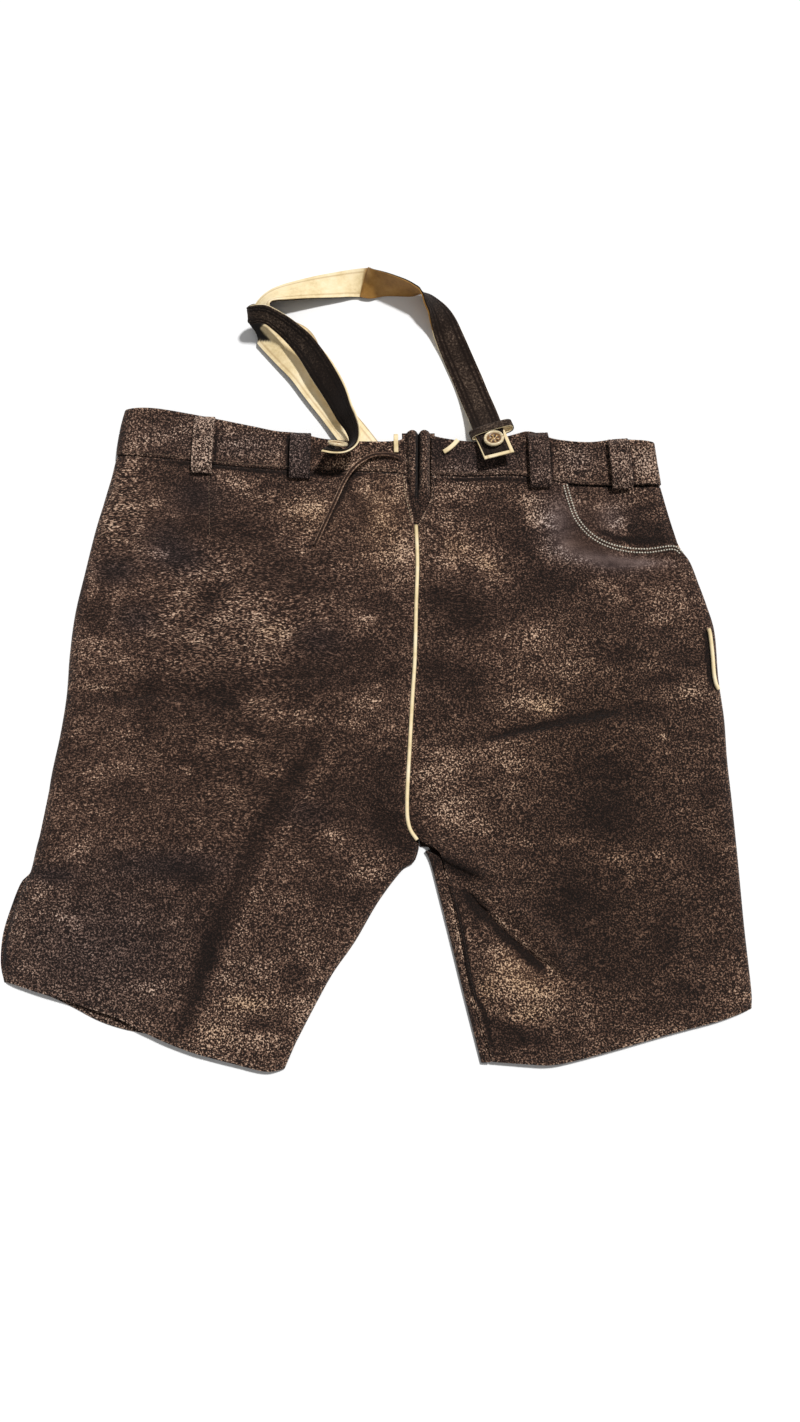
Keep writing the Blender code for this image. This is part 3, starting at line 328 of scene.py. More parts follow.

# Dark and light lines along creases, seams, loops and the lace: change of tone, reach and points. The dark
# lines along the creases, under the lap, beside the knife piping, inside the pocket mouth and beside the belt
# loops are painted shade, the one beside the lace is its painted shadow, and the light ones beside the
# creases and on the lap's ridge are painted highlights. The other lines follow the band and strip seams and
# the left slit.
LINES = [
    (-0.4, 9, (-34, -50), (-60, -100), (-95, -155), (-120, -210), (-140, -260), (-160, -320)),
    (-0.5, 8, (-138, -262), (-158, -315), (-168, -345)),
    (0.3, 5, (-24, -62), (-48, -112), (-82, -168), (-106, -222), (-124, -270), (-138, -318)),
    (-0.7, 3, (84, -86), (140, -74), (222, -58)),
    (-1.5, 1.8, (60, -200), (72, -240), (83, -300), (93, -320), (100, -358)),
    (0.45, 1.8, (56, -200), (68, -240), (79, -300), (88, -320), (96, -357)),
    (-1, 4, (70, -212), (97, -242), (124, -268), (154, -292)),
    (-1.4, 1.8, (71, -210), (98, -240), (125, -266), (150, -287)),
    (0.5, 2.6, (95, -231), (122, -257), (152, -283), (160, -296)),
    (-1.1, 1.6, (-241, 178), (-172, 171), (-83, 162), (-25, 161), (20, 159)),
    (-1.1, 1.6, (50, 156), (126, 156), (175, 149)),
    (-1.4, 2.2, (-81, 203), (-81.5, 180), (-82, 154)),
    (-1.2, 1.4, (232, 192), (233.8, 170), (235.6, 149)),
    (-1, 1.4, (158.5, 198), (159.5, 175), (160.8, 150)),
    (-1, 1.4, (-147.4, 213), (-148.6, 190), (-149.6, 163)),
    (-1.2, 2.2, (-11, 168.5), (-24, 156.5), (-34, 138), (-44, 117), (-59, 93)),
    (-1.5, 2, (-303, -201), (-310, -214), (-316, -234), (-320, -262), (-318, -288)),
    (-1.6, 2, (294, 20), (295.6, 10), (296.8, -8), (297.6, -25), (299, -35), (301.5, -42)),
    (-0.9, 2.6, (196, 113), (211, 104.5), (228, 100), (248, 99), (270, 102)),
]

# Places where the speckle runs in streaks: level ones over the seat, slanting ones on the hip.
STREAKS_LEVEL = [(-130, 30, 130, 110, 1), (-110, -150, 110, 70, 0.6), (90, 40, 60, 90, 0.45)]
STREAKS_SLANTED = [(-238, 130, 40, 70, 1), (250, 60, 50, 40, 0.5), (-255, -120, 40, 80, 0.5)]

# Places rubbed smooth, where the speckle fades, as the ones round the pocket mouth.
SLEEK = [
    (168, 118, 14, 30, 0.8, 0, 10), (195, 86, 30, 12, 0.9, 0, -22), (238, 78, 32, 8, 0.8),
    (205, 122, 24, 24, 0.6), (124, -285, 26, 22, 0.4, 0, -30), (0, 130, 40, 32, 0.4),
    (-165, 130, 30, 30, 0.3), (-90, 60, 30, 30, 0.2),
]

# The gusset by level, down from its top: y, then x of its left edge, valley and right edge, as in
# part.py.
GUSSET = [
    (202, 27.2, 37.9, 48.6), (198, 27.3, 37.9, 48.6), (192, 27.4, 37.8, 48.6), (184, 27.5, 37.8, 48.6),
    (175, 27.7, 37.7, 48.6), (166, 27.9, 37.6, 48.6), (157, 28.3, 37.5, 48.5), (149, 29.2, 37.2, 48.3),
    (142, 29.9, 36.9, 48.1), (136, 31.1, 36.7, 46.6), (130, 32.5, 36.4, 44.4), (124, 33.7, 36.2, 42),
    (117, 34.5, 35.9, 38.3), (109, 35, 35.6, 36.2),
]
# Above GUSSET_TOP it doesn't follow the back any more. Its arches grow from GUSSET_FLAT to GUSSET_FULL.
GUSSET_TOP = 196.0
GUSSET_FLAT = 128.0
GUSSET_FULL = 158.0
GUSSET_RISE = 0.74
GUSSET_VALLEY = 2.6
GUSSET_BASE = 1.1
FLANGE_START = 1.2
FLANGE_REACH = 4.5
FLANGE_DROP = 0.8

# Each belt loop's two ends with its change of tone and of cool, and the room above the band at
# shares of its run.
LOOPS = [
    (-158.5, 215, -160.5, 161.5, 0.75, 0.3), (-70, 199, -70.8, 156.5, -0.1, 1),
    (147.5, 199.2, 149.5, 148, 0, 0.5), (221, 193.6, 224.5, 147, 0.2, 0.3),
]
LOOP_ARCH = [
    (0, 0.2), (0.04, 1.6), (0.1, 4.2), (0.17, LOOP_ROOM), (0.4, LOOP_ROOM + 0.4),
    (0.62, LOOP_ROOM + 0.4), (0.84, LOOP_ROOM), (0.91, 4.2), (0.96, 1.8), (1, 0.2),
]

# The braces, as (x, y, z, lean) from the buttoned end, as in part.py.
STRAP_RIGHT = [
    (110.8, 172.3, 31, 0), (108.2, 182.1, 25.5, 0), (105.1, 192.8, 20.5, 0), (101.9, 203.5, 16, 0),
    (97.5, 220.2, 9, 0), (91.1, 239.5, 3.4, 0), (85.3, 256, 2, 0), (78.8, 272.1, 2, 0),
    (72.4, 288.1, 2.5, 2), (67, 301.5, 4, 9), (62.4, 313.4, 6.3, 20), (57.4, 323, 9.1, 33),
    (52, 330, 11.6, 45), (46.2, 336.6, 13.6, 57), (40.4, 340.2, 14.8, 68), (34.9, 341.6, 15.5, 80),
    (27.5, 343.7, 15.7, 90), (16.8, 346.4, 15.4, 99), (5.3, 348.8, 14.7, 110), (-4, 350.6, 12.5, 126),
    (-9.8, 353, 8.6, 150), (-15.2, 355.4, 3.8, 172), (-25.6, 355.4, 2.4, 181), (-37.1, 353.3, 3.6, 187),
    (-55.7, 349.9, 5.6, 196), (-74.5, 345.7, 7.9, 206), (-88.7, 342, 9.4, 213), (-99.4, 337.3, 11, 221),
    (-107, 330.4, 12.4, 229), (-109.2, 321.8, 12, 227), (-104.6, 314, 10.2, 218), (-96, 309, 7.8, 205),
    (-84.5, 305.6, 5, 192), (-73.2, 300.8, 3, 183), (-66.4, 291.4, 2.2, 180), (-62.3, 275.5, 2, 180),
    (-55.9, 253.1, 2, 180), (-44.5, 233.2, 2, 180), (-33.1, 217.3, 1.9, 180), (-23.6, 204.9, 3.4, 180),
    (-16.1, 194.4, 5, 180), (0.7, 171.9, 5, 180),
]
STRAP_LEFT = [
    (-46, 180.6, 28.8, -54), (-37.5, 177.8, 29.4, -60), (-28.6, 177.4, 29.4, -66), (-21.6, 183, 28.6, -69),
    (-20.6, 194, 28, -70), (-24.1, 205, 26.6, -67), (-30.5, 216.6, 25.4, -58), (-39, 235, 25, -46),
    (-52.3, 257.6, 26, -39), (-65.3, 277.7, 26.6, -47), (-77.6, 291.2, 27, -58), (-89.4, 301.8, 26.6, -67),
    (-100.4, 308.8, 28.6, -76), (-108, 310.6, 29.2, -80), (-113.4, 311, 28.4, -83),
    (-117.4, 311.4, 26.4, -86), (-119.6, 313.2, 23.4, -91), (-117.4, 315.4, 17.6, -112),
    (-110.8, 310.6, 11.8, -146), (-99.2, 298, 6.9, -166), (-83.6, 280.8, 5.5, -174),
    (-69.9, 265.7, 5.5, -178), (-55.6, 245.8, 5, -180), (-40.5, 225.9, 4.9, -180),
    (-30.1, 211.3, 5.6, -180), (-22.5, 200.1, 7.8, -180), (-15, 190.1, 8.2, -180),
    (2.6, 165.8, 8.2, -180),
]

# A strap's two layers: how far each reaches to the left and right of the middle at a run from the
# buttoned end, as (run, left, right). The cream one shows all round the tab.
DARK_RIGHT_EDGES = [
    (3.4, 12.6, 10.6), (22, 12.8, 10.8), (34, 13.7, 13.7), (365, 13.7, 13.7), (380, 13.7, 10.2),
    (425, 13.7, 10.2), (445, 13.7, 13.7), (600, 13.7, 13.7),
]
CREAM_RIGHT_EDGES = [
    (0, 13.9, 13.9), (30, 13.9, 13.9), (36, 13.6, 13.9), (125, 13.6, 13.9), (135, 14, 14),
    (365, 14, 14), (380, 14, 10.5), (425, 14, 10.5), (445, 14, 14), (600, 14, 14),
]
DARK_LEFT_EDGES = [
    (1, 13.5, 11.4), (40, 13.5, 11.8), (70, 12.7, 13), (186, 12.7, 13.3), (194, 12.6, 12),
    (200, 12.6, 10), (204, 11.6, 9), (209, 9, 12), (213, 8, 13.2), (222, 8, 13.3), (227, 9, 13.3),
    (230, 10.5, 13.4), (233, 13.5, 13.5), (600, 13.6, 13.5),
]
CREAM_LEFT_EDGES = [
    (0, 14, 14), (105, 14, 14), (125, 14, 12.3), (186, 14, 12.3), (194, 13.6, 11.2), (200, 13, 9.4),
    (204, 12, 8.4), (209, 9.2, 11.4), (213, 8.2, 12.6), (222, 8.2, 13), (227, 9.2, 13.4),
    (230, 10.7, 13.6), (233, 14, 13.8), (250, 14, 14), (600, 14, 14),
]
# Where the left brace turns under at its tip, from one run to another.
LEFT_FOLD = (193, 225)
# Lengths of a cream layer painted dark or ochre, for parts left of `right`: start and end of the run, how
# much later such a length ends for each millimetre from the left edge, right, shade and ochre. The left
# brace's rows are painted shade in the hollow of the fold at its tip. On the right brace the first row turns
# the standing part of its arc ochre, and the second is a painted shadow, with some ochre, where the left
# brace lies over it.
LEFT_PAINTED_SHADE = [(196, 231, 0.85, -2, 1, 0), (196, 225, 0, 20, 1, 0)]
RIGHT_OCHRE_AND_PAINTED_SHADE = [(150, 252, 0, 20, 0, 1), (404, 600, 0, 20, 0.2, 0.4)]
# Change of the suede's tone along each brace, as (run, tone).
LEFT_SUEDE = [(0, -0.4), (30, -0.5), (75, -0.6), (105, -0.35), (135, -0.1), (165, 0.05), (195, 0.1),
              (230, 0)]
RIGHT_SUEDE = [(0, -0.2), (60, -0.05), (120, -0.1), (160, -0.2), (200, -0.3), (400, 0)]
# Sewn rows across a brace, which show ochre on its cream layer.
STRAP_ROWS = (-10.3, -6.5, 6.5, 10.3)
CREAM_ROWS = (-10.3, 10.3)
ROW_WIDTH = 0.8
# The grooves that sewn rows press into a strip, and how far its edges are rounded.
GROOVE_DEPTH = 0.3
GROOVE_WIDTH = 0.55
STRIP_ROUND = 0.9

# A button's half section as (radius, height), from the middle of its face round to its back.
BUTTON_SECTION = [
    (0, 2.0), (1.2, 2.0), (2.4, 2.05), (3.6, 2.1), (4.6, 2.2), (5.4, 2.3), (6.0, 2.5), (6.5, 2.9), (6.9, 3.3),
    (7.4, 3.7), (7.9, 3.9), (8.4, 3.8), (8.9, 3.4), (BUTTON_RADIUS, 2.7), (BUTTON_RADIUS, 1.8),
    (8.8, 1.1), (7.6, 0.5), (4.8, 0), (0, 0),
]
BUTTON_STEPS = 96
CARVED_RADIUS = 6.6
PETALS = 6

# The free lace and the two cream loops, as (x, y, room above the leather), as in part.py. Above
# LACE_LOOP_LEVEL the loops don't follow the leather any more.
LACE = [
    (20.5, 176, 0.4), (14, 178, 1.2), (4, 178.4, 2.2), (-7, 175.5, 3.4), (-20, 165.5, 5.0),
    (-29.5, 151.5, 6.0), (-39, 129.5, 5.4), (-47.5, 111, 3.2), (-56, 93, 0.5),
]
LACE_LOOP_LEFT = [(17.5, 181, 0.3), (17.3, 188, 1.2), (17.2, 195, 0.8), (17.2, 199, -2.0)]
LACE_LOOP_RIGHT = [(61, 181.5, 0.3), (65.5, 184, 1.6), (70, 188, 1.4), (74, 193, 0.3)]
LACE_LOOP_LIFT = 1.3
LACE_LOOP_LEVEL = 193.0
# The piping beside the knife pocket.
KNIFE_PIPING = [(297.6, 16), (298.9, 10), (300.2, -8), (300.8, -25), (302.2, -34), (304.6, -39)]

# The rings of a stitch as (place along it, width, lift): shares of its length and of the thread's size.
STITCH_RINGS = [(-0.5, 0.35, -0.35), (-0.36, 0.85, 0), (0, 1, 0.18), (0.36, 0.85, 0), (0.5, 0.35, -0.35)]
STITCH_SIDES = 6
STITCH_SHARE = 0.68

# Colour ramps, as (position, sRGB colour of 0 to 255).
NUBUCK_STOPS = [(0.0, (15, 10, 8)), (0.2, (43, 29, 23)), (0.4, (78, 57, 47)), (0.6, (115, 88, 73)),
                (0.8, (162, 130, 109)), (1.0, (216, 184, 158))]
SUEDE_STOPS = [(0.0, (14, 9, 7)), (0.53, (34, 25, 20)), (0.67, (62, 50, 42)), (0.8, (114, 96, 81)),
               (1.0, (170, 148, 124))]
CREAM_STOPS = [(0.3, (206, 181, 130)), (0.5, (236, 215, 170)), (0.7, (247, 232, 198))]
OCHRE_STOPS = [(0.3, (120, 82, 30)), (0.5, (150, 108, 48)), (0.7, (172, 130, 66))]
RIM_STOPS = [(0.3, (178, 150, 104)), (0.55, (226, 208, 170)), (0.75, (242, 230, 202))]
CARVED_STOPS = [(0.25, (46, 26, 14)), (0.55, (122, 84, 44)), (0.9, (214, 180, 120))]
# Linear colours: the factors of cool and warm nubuck, the painted shade on cream, and the floor.
COOL_TINT = (0.84, 1.0, 1.28, 1.0)
WARM_TINT = (1.06, 1.0, 0.78, 1.0)
PAINTED_SHADE_COLOUR = (0.012, 0.008, 0.006, 1.0)
FLOOR_COLOUR = (0.92, 0.92, 0.92, 1.0)

# The nubuck's middle tone, the share of its tables, and the size and contrast of its speckle.
NUBUCK_TONE = 0.30
TONE_SHARE = 0.27
GRAIN_SIZE = 0.00072
SPECKLE_MIDDLE = 0.55
SPECKLE_GAIN = 5.0
SPECKLE_LOW = 0.32
SPECKLE_HIGH = 2.8

# The stage, in metres and degrees. FLOOR_DROP is how many millimetres the floor lies below the garment.
FLOOR_SIZE = 4.0
FLOOR_DROP = 0.05
TARGET = Vector((0.02163, -0.058, 0.0))
CAMERA_BACK = Vector((0.0, -0.19101, 1.08329))
CAMERA_TILT = 10.0
LENS = 31.1
SUN_AZIMUTH = 42.0
SUN_ELEVATION = 63.0
SUN_SPREAD = 5.0
SUN_STRENGTH = 3.0
SKY_STRENGTH = 0.32


# Curves.

def curved(points, steps=14):
    """A dense smooth curve through `points`, of any number of columns."""
    points = np.asarray(points, float)
    ends = np.vstack([2 * points[0] - points[1], points, 2 * points[-1] - points[-2]])
    out = []
    for before, start, end, after in zip(ends[:-3], ends[1:-2], ends[2:-1], ends[3:]):
        for t in np.arange(steps) / steps:
            square = 2 * before - 5 * start + 4 * end - after
            cube = 3 * start - before - 3 * end + after
            out.append(0.5 * (2 * start + (end - before) * t + square * t ** 2 + cube * t ** 3))
    out.append(points[-1])
    return np.array(out)


def unit(vectors):
    return vectors / np.linalg.norm(vectors, axis=1)[:, None]


def lengths(curve, columns=3):
    steps = np.diff(curve[:, :columns], axis=0)
    return np.concatenate([[0.0], np.cumsum(np.sqrt((steps ** 2).sum(axis=1)))])


def at_runs(line, run, at):
    """The rows of `line`, which lie at the lengths `run`, as they are at the lengths `at`."""
    return np.stack([np.interp(at, run, column) for column in line.T], axis=-1)


def along(curve, shares):
    """The points at these shares of the curve's length."""
    run = lengths(curve)
    return at_runs(curve, run, np.asarray(shares, float) * run[-1])


def joined(*curves):
    """Curves end to end, with the share of the length at which each one ends."""
    whole = np.vstack([curves[0]] + [curve[1:] for curve in curves[1:]])
    ends = np.cumsum([lengths(curve)[-1] for curve in curves])
    return whole, ends / lengths(whole)[-1]


def beside(curve, offset):
    """The curve moved by `offset` to the right of its run."""
    run = np.gradient(curve, axis=0)
    run /= np.sqrt((run ** 2).sum(axis=1))[:, None]
    return curve + offset * np.stack([run[:, 1], -run[:, 0]], axis=-1)


def smooth(value):
    value = np.clip(value, 0.0, 1.0)
    return value * value * (3 - 2 * value)


def nearest(curve, x, y):
    """Each point's distance to the curve, its side (1 is left of the run) and the share of the run there."""
    start, step = curve[:-1], np.diff(curve, axis=0)
    size = (step ** 2).sum(axis=1)
    dx = np.asarray(x)[..., None] - start[:, 0]
    dy = np.asarray(y)[..., None] - start[:, 1]
    inside = np.clip((dx * step[:, 0] + dy * step[:, 1]) / size, 0, 1)
    gap = np.sqrt((dx - inside * step[:, 0]) ** 2 + (dy - inside * step[:, 1]) ** 2)
    best = gap.argmin(axis=-1)[..., None]

    def there(values):
        return np.take_along_axis(values, best, axis=-1)[..., 0]

    run = lengths(curve)
    share = run[best[..., 0]] + there(inside) * np.sqrt(size)[best[..., 0]]
    return there(gap), np.sign(there(step[:, 0] * dy - step[:, 1] * dx)), share / run[-1]


def nearer(curves, x, y):
    """Each point's distance to the nearer of two curves."""
    return np.minimum(*(nearest(curve, x, y)[0] for curve in curves))


# The back's outer skin: the height of part.py, then its creases, laps and relief.

SIDES = curved(BAND_SIDE_LEFT[:-1] + SIDE_LEFT), curved(BAND_SIDE_RIGHT[:-1] + SIDE_RIGHT)
INSEAMS = curved(INSEAM_LEFT), curved(INSEAM_RIGHT)
HEMS = curved(HEM_LEFT), curved(HEM_RIGHT)
SEAM = curved(SEAT_SEAM)


def rounded(gap):
    """How much of the crown stands at a distance from an edge."""
    share = np.clip(gap / EDGE_ROUND, 0, 1)
    reach = EDGE_SHARE + (1 - EDGE_SHARE) * smooth(gap / CROWN_REACH)
    return np.sqrt(1 - (1 - share) ** 2) * reach


def fold_height(x, y, x0, y0, x1, y1, bow, height, width):
    """One trough or ridge: a bell across a bowed line, which fades at both ends."""
    run = math.hypot(x1 - x0, y1 - y0)
    ux, uy = (x1 - x0) / run, (y1 - y0) / run
    share = ((x - x0) * ux + (y - y0) * uy) / run
    inside = np.clip(share, 0, 1)
    off = (x - x0) * -uy + (y - y0) * ux - bow * 4 * inside * (1 - inside)
    ends = smooth((share + FOLD_OVER) / FOLD_TAPER) * smooth((1 + FOLD_OVER - share) / FOLD_TAPER)
    return height * ends * np.exp(-(off / width) ** 2)


def back_height(x, y):
    """The outer skin of the CAD solids."""
    x, y = np.asarray(x, float), np.asarray(y, float)
    side, leg = nearer(SIDES, x, y), nearer(INSEAMS, x, y)
    crown = LEG_CROWN + (SEAT_CROWN - LEG_CROWN) * smooth((y - LEG_LEVEL) / (SEAT_LEVEL - LEG_LEVEL))
    crown = crown * (HEM_SHARE + (1 - HEM_SHARE) * smooth(nearer(HEMS, x, y) / HEM_REACH))
    folds = sum(fold_height(x, y, *fold) for fold in FOLDS)
    folds = folds - SEAM_DIP * np.exp(-(nearest(SEAM, x, y)[0] / SEAM_DIP_WIDTH) ** 2)
    edge = smooth(np.minimum(side, leg) / FOLD_FADE)
    return EDGE_HEIGHT + crown * rounded(side) * rounded(leg) + folds * edge


def band_lift(x, y):
    """How far the band stands above the back's skin."""
    side = nearer(SIDES, x, y)
    return BAND_EDGE_LIFT + (BAND_LIFT - BAND_EDGE_LIFT) * smooth(side / BAND_LIFT_REACH)


def band_top(x, y):
    """The band's top face, without its relief."""
    return back_height(x, y) + band_lift(x, y)


def tapered(share):
    """Fades to nothing at both ends of a run."""
    return smooth(share / CREASE_TAPER) * smooth((1 - share) / CREASE_TAPER)


def ridges(table, x, y):
    """The sum of a table's lines, each one a bell across its run that fades at both ends."""
    total = np.zeros_like(x)
    for height, width, *points in table:
        gap, _, share = nearest(curved(points, 5), x, y)
        total += height * tapered(share) * np.exp(-(gap / width) ** 2)
    return total


def lap_height(x, y):
    """Laps rise on the left of their run, over a steep wall."""
    total = np.zeros_like(x)
    for height, steep, reach, hollow, *points in LAPS:
        gap, side, share = nearest(curved(points, 6), x, y)
        off = gap * side
        risen = smooth(off / steep + 0.5)
        behind = height * risen * np.exp(-np.maximum(off, 0) / reach)
        before = hollow * (1 - risen) * np.exp(-np.maximum(-off, 0) / HOLLOW_REACH)
        total += (behind - before) * tapered(share)
    return total


def relief(x, y, seed=0.0):
    """The uneven relief, which another seed draws anew."""
    total = np.zeros(x.size)
    for size, height in RELIEF:
        at = np.stack([x.ravel() / size, y.ravel() / (size * RELIEF_SQUASH)], axis=1)
        total += height * np.array([noise.noise(Vector((a, b, seed + size))) for a, b in at])
    return total.reshape(x.shape)


def skin(x, y):
    """The outer skin that shows: never far from the CAD one, and on it at the edges."""
    x, y = np.atleast_1d(np.asarray(x, float)), np.atleast_1d(np.asarray(y, float))
    edge = np.minimum(nearer(SIDES, x, y), nearest(INSEAMS[0], x, y)[0])
    fine = (ridges(CREASES, x, y) + relief(x, y)) * smooth(edge / CREASE_FADE)
    return back_height(x, y) + fine + lap_height(x, y)


def band_skin(x, y):
    """The band's skin, with a crumple right of the gusset."""
    x, y = np.atleast_1d(np.asarray(x, float)), np.atleast_1d(np.asarray(y, float))
    gathers = np.exp(-((x - 58) / 9) ** 2 - ((y - 184) / 13) ** 2)
    crumple = 0.9 * gathers * np.sin(x * 1.5 + np.sin(y * 0.5))
    return band_top(x, y) + 0.8 * relief(x, y, 7.0) + crumple


# Wear, tone and painted light of the nubuck.

def patch(x, y, middle_x, middle_y, reach_x, reach_y, tone, cool=0.0, turn=0.0):
    """The change of tone and of cool that one place of the tables makes."""
    turn = math.radians(turn)
    dx, dy = x - middle_x, y - middle_y
    right = (dx * math.cos(turn) + dy * math.sin(turn)) / reach_x
    up = (dy * math.cos(turn) - dx * math.sin(turn)) / reach_y
    weight = np.exp(-(right ** 2 + up ** 2))
    return np.array([tone * weight, cool * weight])


def weights(patches, x, y):
    """How strongly a table's places mark each point, from 0 to 1."""
    return np.clip(sum(patch(x, y, *row)[0] for row in patches), 0, 1)


# Meshes.

def place(points):
    """Table points as metres in the frame."""
    return (np.asarray(points, float) - CENTRE) * MM


def mesh_object(name, points, faces, material):
    mesh = bpy.data.meshes.new(name)
    mesh.from_pydata(place(points).tolist(), [], faces)
    mesh.shade_smooth()
    mesh.materials.append(material)
    obj = bpy.data.objects.new(name, mesh)
    bpy.context.scene.collection.objects.link(obj)
    return obj


def grid_faces(rows, columns, round_rows=False, round_columns=False, first=0):
    i = np.arange(rows if round_rows else rows - 1)[:, None]
    j = np.arange(columns if round_columns else columns - 1)[None]
    after_i, after_j = (i + 1) % rows, (j + 1) % columns
    corners = [i * columns + j, after_i * columns + j, after_i * columns + after_j, i * columns + after_j]
    return (np.stack(np.broadcast_arrays(*corners), axis=-1).reshape(-1, 4) + first).tolist()


def grid_object(name, points, material, **closed):
    return mesh_object(name, points.reshape(-1, 3), grid_faces(*points.shape[:2], **closed), material)


def attribute(obj, name, values):
    made = obj.data.attributes.new(name, "FLOAT", "POINT")
    made.data.foreach_set("value", np.broadcast_to(values, len(obj.data.vertices)).astype(np.float32).ravel())


def tint(obj, tone, cool=0.0, level=0.0, slanted=0.0, sleek=0.0):
    """Writes what the nubuck reads (the suede only reads the tone): level and slanted are streaks."""
    attribute(obj, "tone", tone)
    attribute(obj, "cool", cool)
    attribute(obj, "level", level)
    attribute(obj, "slanted", slanted)
    attribute(obj, "sleek", sleek)


def wear_and_painted_light(obj, points, edge_wear):
    """Writes the nubuck's tone from the tables, at the grid's own points: wear and random tone, with the
    painted shade and highlights of the lines and of some places.
    """
    x, y = points[..., 0].ravel(), points[..., 1].ravel()
    tone, cool = sum(patch(x, y, *row) for row in PATCHES)
    tone = np.where(tone < 0, DARKEST * np.tanh(tone / DARKEST), tone)
    # The lines add painted shade and painted highlights to the tone.
    tone = tone + ridges(LINES, x, y) + edge_wear.ravel()
    tint(obj, tone, cool, *(weights(patches, x, y) for patches in (STREAKS_LEVEL, STREAKS_SLANTED, SLEEK)))


def wall(obj, thickness, offset=-1.0):
    """Thickens a sheet, inwards unless `offset` says otherwise."""
    solid = obj.modifiers.new("wall", "SOLIDIFY")
    solid.thickness = thickness * MM
    solid.offset = offset


def edge_share(rows, columns, sides):
    """1 on the grid's named edges and 0 inside."""
    made = np.zeros((rows, columns))
    edges = {"top": made[0], "bottom": made[-1], "left": made[:, 0], "right": made[:, -1]}
    for side in sides.split():
        edges[side][:] = 1
    return made


def finish_piece(obj, slot, *nodes):
    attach(obj, BODY)
    if nodes:
        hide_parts(*nodes)


def leather_sheet(node, points, material, thickness, worn_edges="", name=None):
    """A thin shell on the grid of its outer points, which stands for a CAD node."""
    obj = grid_object(name or f"{node}_leather", points, material)
    wear_and_painted_light(obj, points, EDGE_WEAR * edge_share(*points.shape[:2], worn_edges))
    wall(obj, thickness)
    finish_piece(obj, "brown_nubuck", node)


def patch_grid(top, bottom, left, right, across, down):
    """Grid points (down, across, 2) between four curves, or lists of points, that meet at their ends."""
    top, bottom, left, right = (curved(line) if isinstance(line, list) else line
                                for line in (top, bottom, left, right))
    u = np.asarray(across)[None, :, None]
    v = np.asarray(down)[:, None, None]
    high, low = along(top, across)[None], along(bottom, across)[None]
    first, last = along(left, down)[:, None], along(right, down)[:, None]
    corners_high = (1 - u) * high[:, :1] + u * high[:, -1:]
    corners_low = (1 - u) * low[:, :1] + u * low[:, -1:]
    between = (1 - v) * high + v * low + (1 - u) * first + u * last
    return between - (1 - v) * corners_high - v * corners_low


def even_shares(length, step):
    return np.linspace(0, 1, max(3, round(length / step)) + 1)


def raised(plan, height):
    return np.concatenate([plan, height(plan[..., 0], plan[..., 1])[..., None]], axis=-1)


def laid_flat(plan):
    """A panel's grid on the surface, in the order that puts its wall above it."""
    return np.concatenate([plan, np.zeros(plan.shape[:2] + (1,))], axis=-1)[:, ::-1]


# Panels.

def front_panels(nubuck):
    """Both fronts, flat on the surface, on coarser grids than the backs."""
    middle = curved([(30.5, 150), (31, 0), (34, -120), (38.2, -178)])
    top = [(-241, 178), (-80, 160), (30.5, 150)]
    leg = curved([(38, -178)] + INSEAM_LEFT[1:-1] + [(-77.5, -363)])
    inner, _ = joined(beside(middle, GAP), leg)
    plan = patch_grid(top, FRONT_HEM_LEFT, SLIT_LEFT, inner, even_shares(320, 6), even_shares(540, 5))
    leather_sheet("front_left", laid_flat(plan), nubuck, LEATHER, "left right bottom")

    top = [(31.2, 150), (170, 148), (261, 150)]
    middle = beside(middle, -GAP)
    leg = beside(INSEAMS[1], -ROLL_START - 2 * GAP)
    leg = along(leg, np.linspace(ROLL_TOP / 2, 1, 120))
    inner, ends = joined(middle, np.array([middle[-1], leg[0]]), leg)
    down = np.concatenate([ends[0] * even_shares(330, 5), np.linspace(ends[1], 1, 36)])
    plan = patch_grid(top, HEM_RIGHT, inner, SIDE_RIGHT, even_shares(280, 6), down)
    leather_sheet("front_right", laid_flat(plan), nubuck, LEATHER, "left bottom")


def inseam_roll(nubuck):
    """The right front's inseam edge, which turns up over the side and lies on top as far as its seam."""
    even = np.linspace(ROLL_TOP, 1, 110)
    rim = along(INSEAMS[1], even)
    over = along(curved(STRIP_SEAM), even) - rim
    over *= 1 - STRIP_GAP / np.linalg.norm(over, axis=1)[:, None]
    start = along(beside(INSEAMS[1], -ROLL_START), even)
    lines = [np.column_stack([start, np.zeros(len(even))])]
    for inset, level in ROLL:
        plan = rim + over * inset
        height = back_height(*plan.T) if level is None else np.full(len(even), level)
        lines.append(np.column_stack([plan, height]))
    points = np.array([curved(row, 4) for row in np.stack(lines, axis=1)])
    # Past these columns the roll lies on top, where it swells a little and unevenly.
    turned_over = 14
    swell = 0.35 * np.sin(even * 41) + 0.3 * np.sin(even * 17 + 1)
    on_top = points[:, turned_over:, 2]
    on_top += (swell[:, None] + 0.6) * smooth(np.linspace(0, 1, on_top.shape[1]) * 2)
    leather_sheet("inseam_right", points, nubuck, LEATHER, "right", "inseam_roll_right")


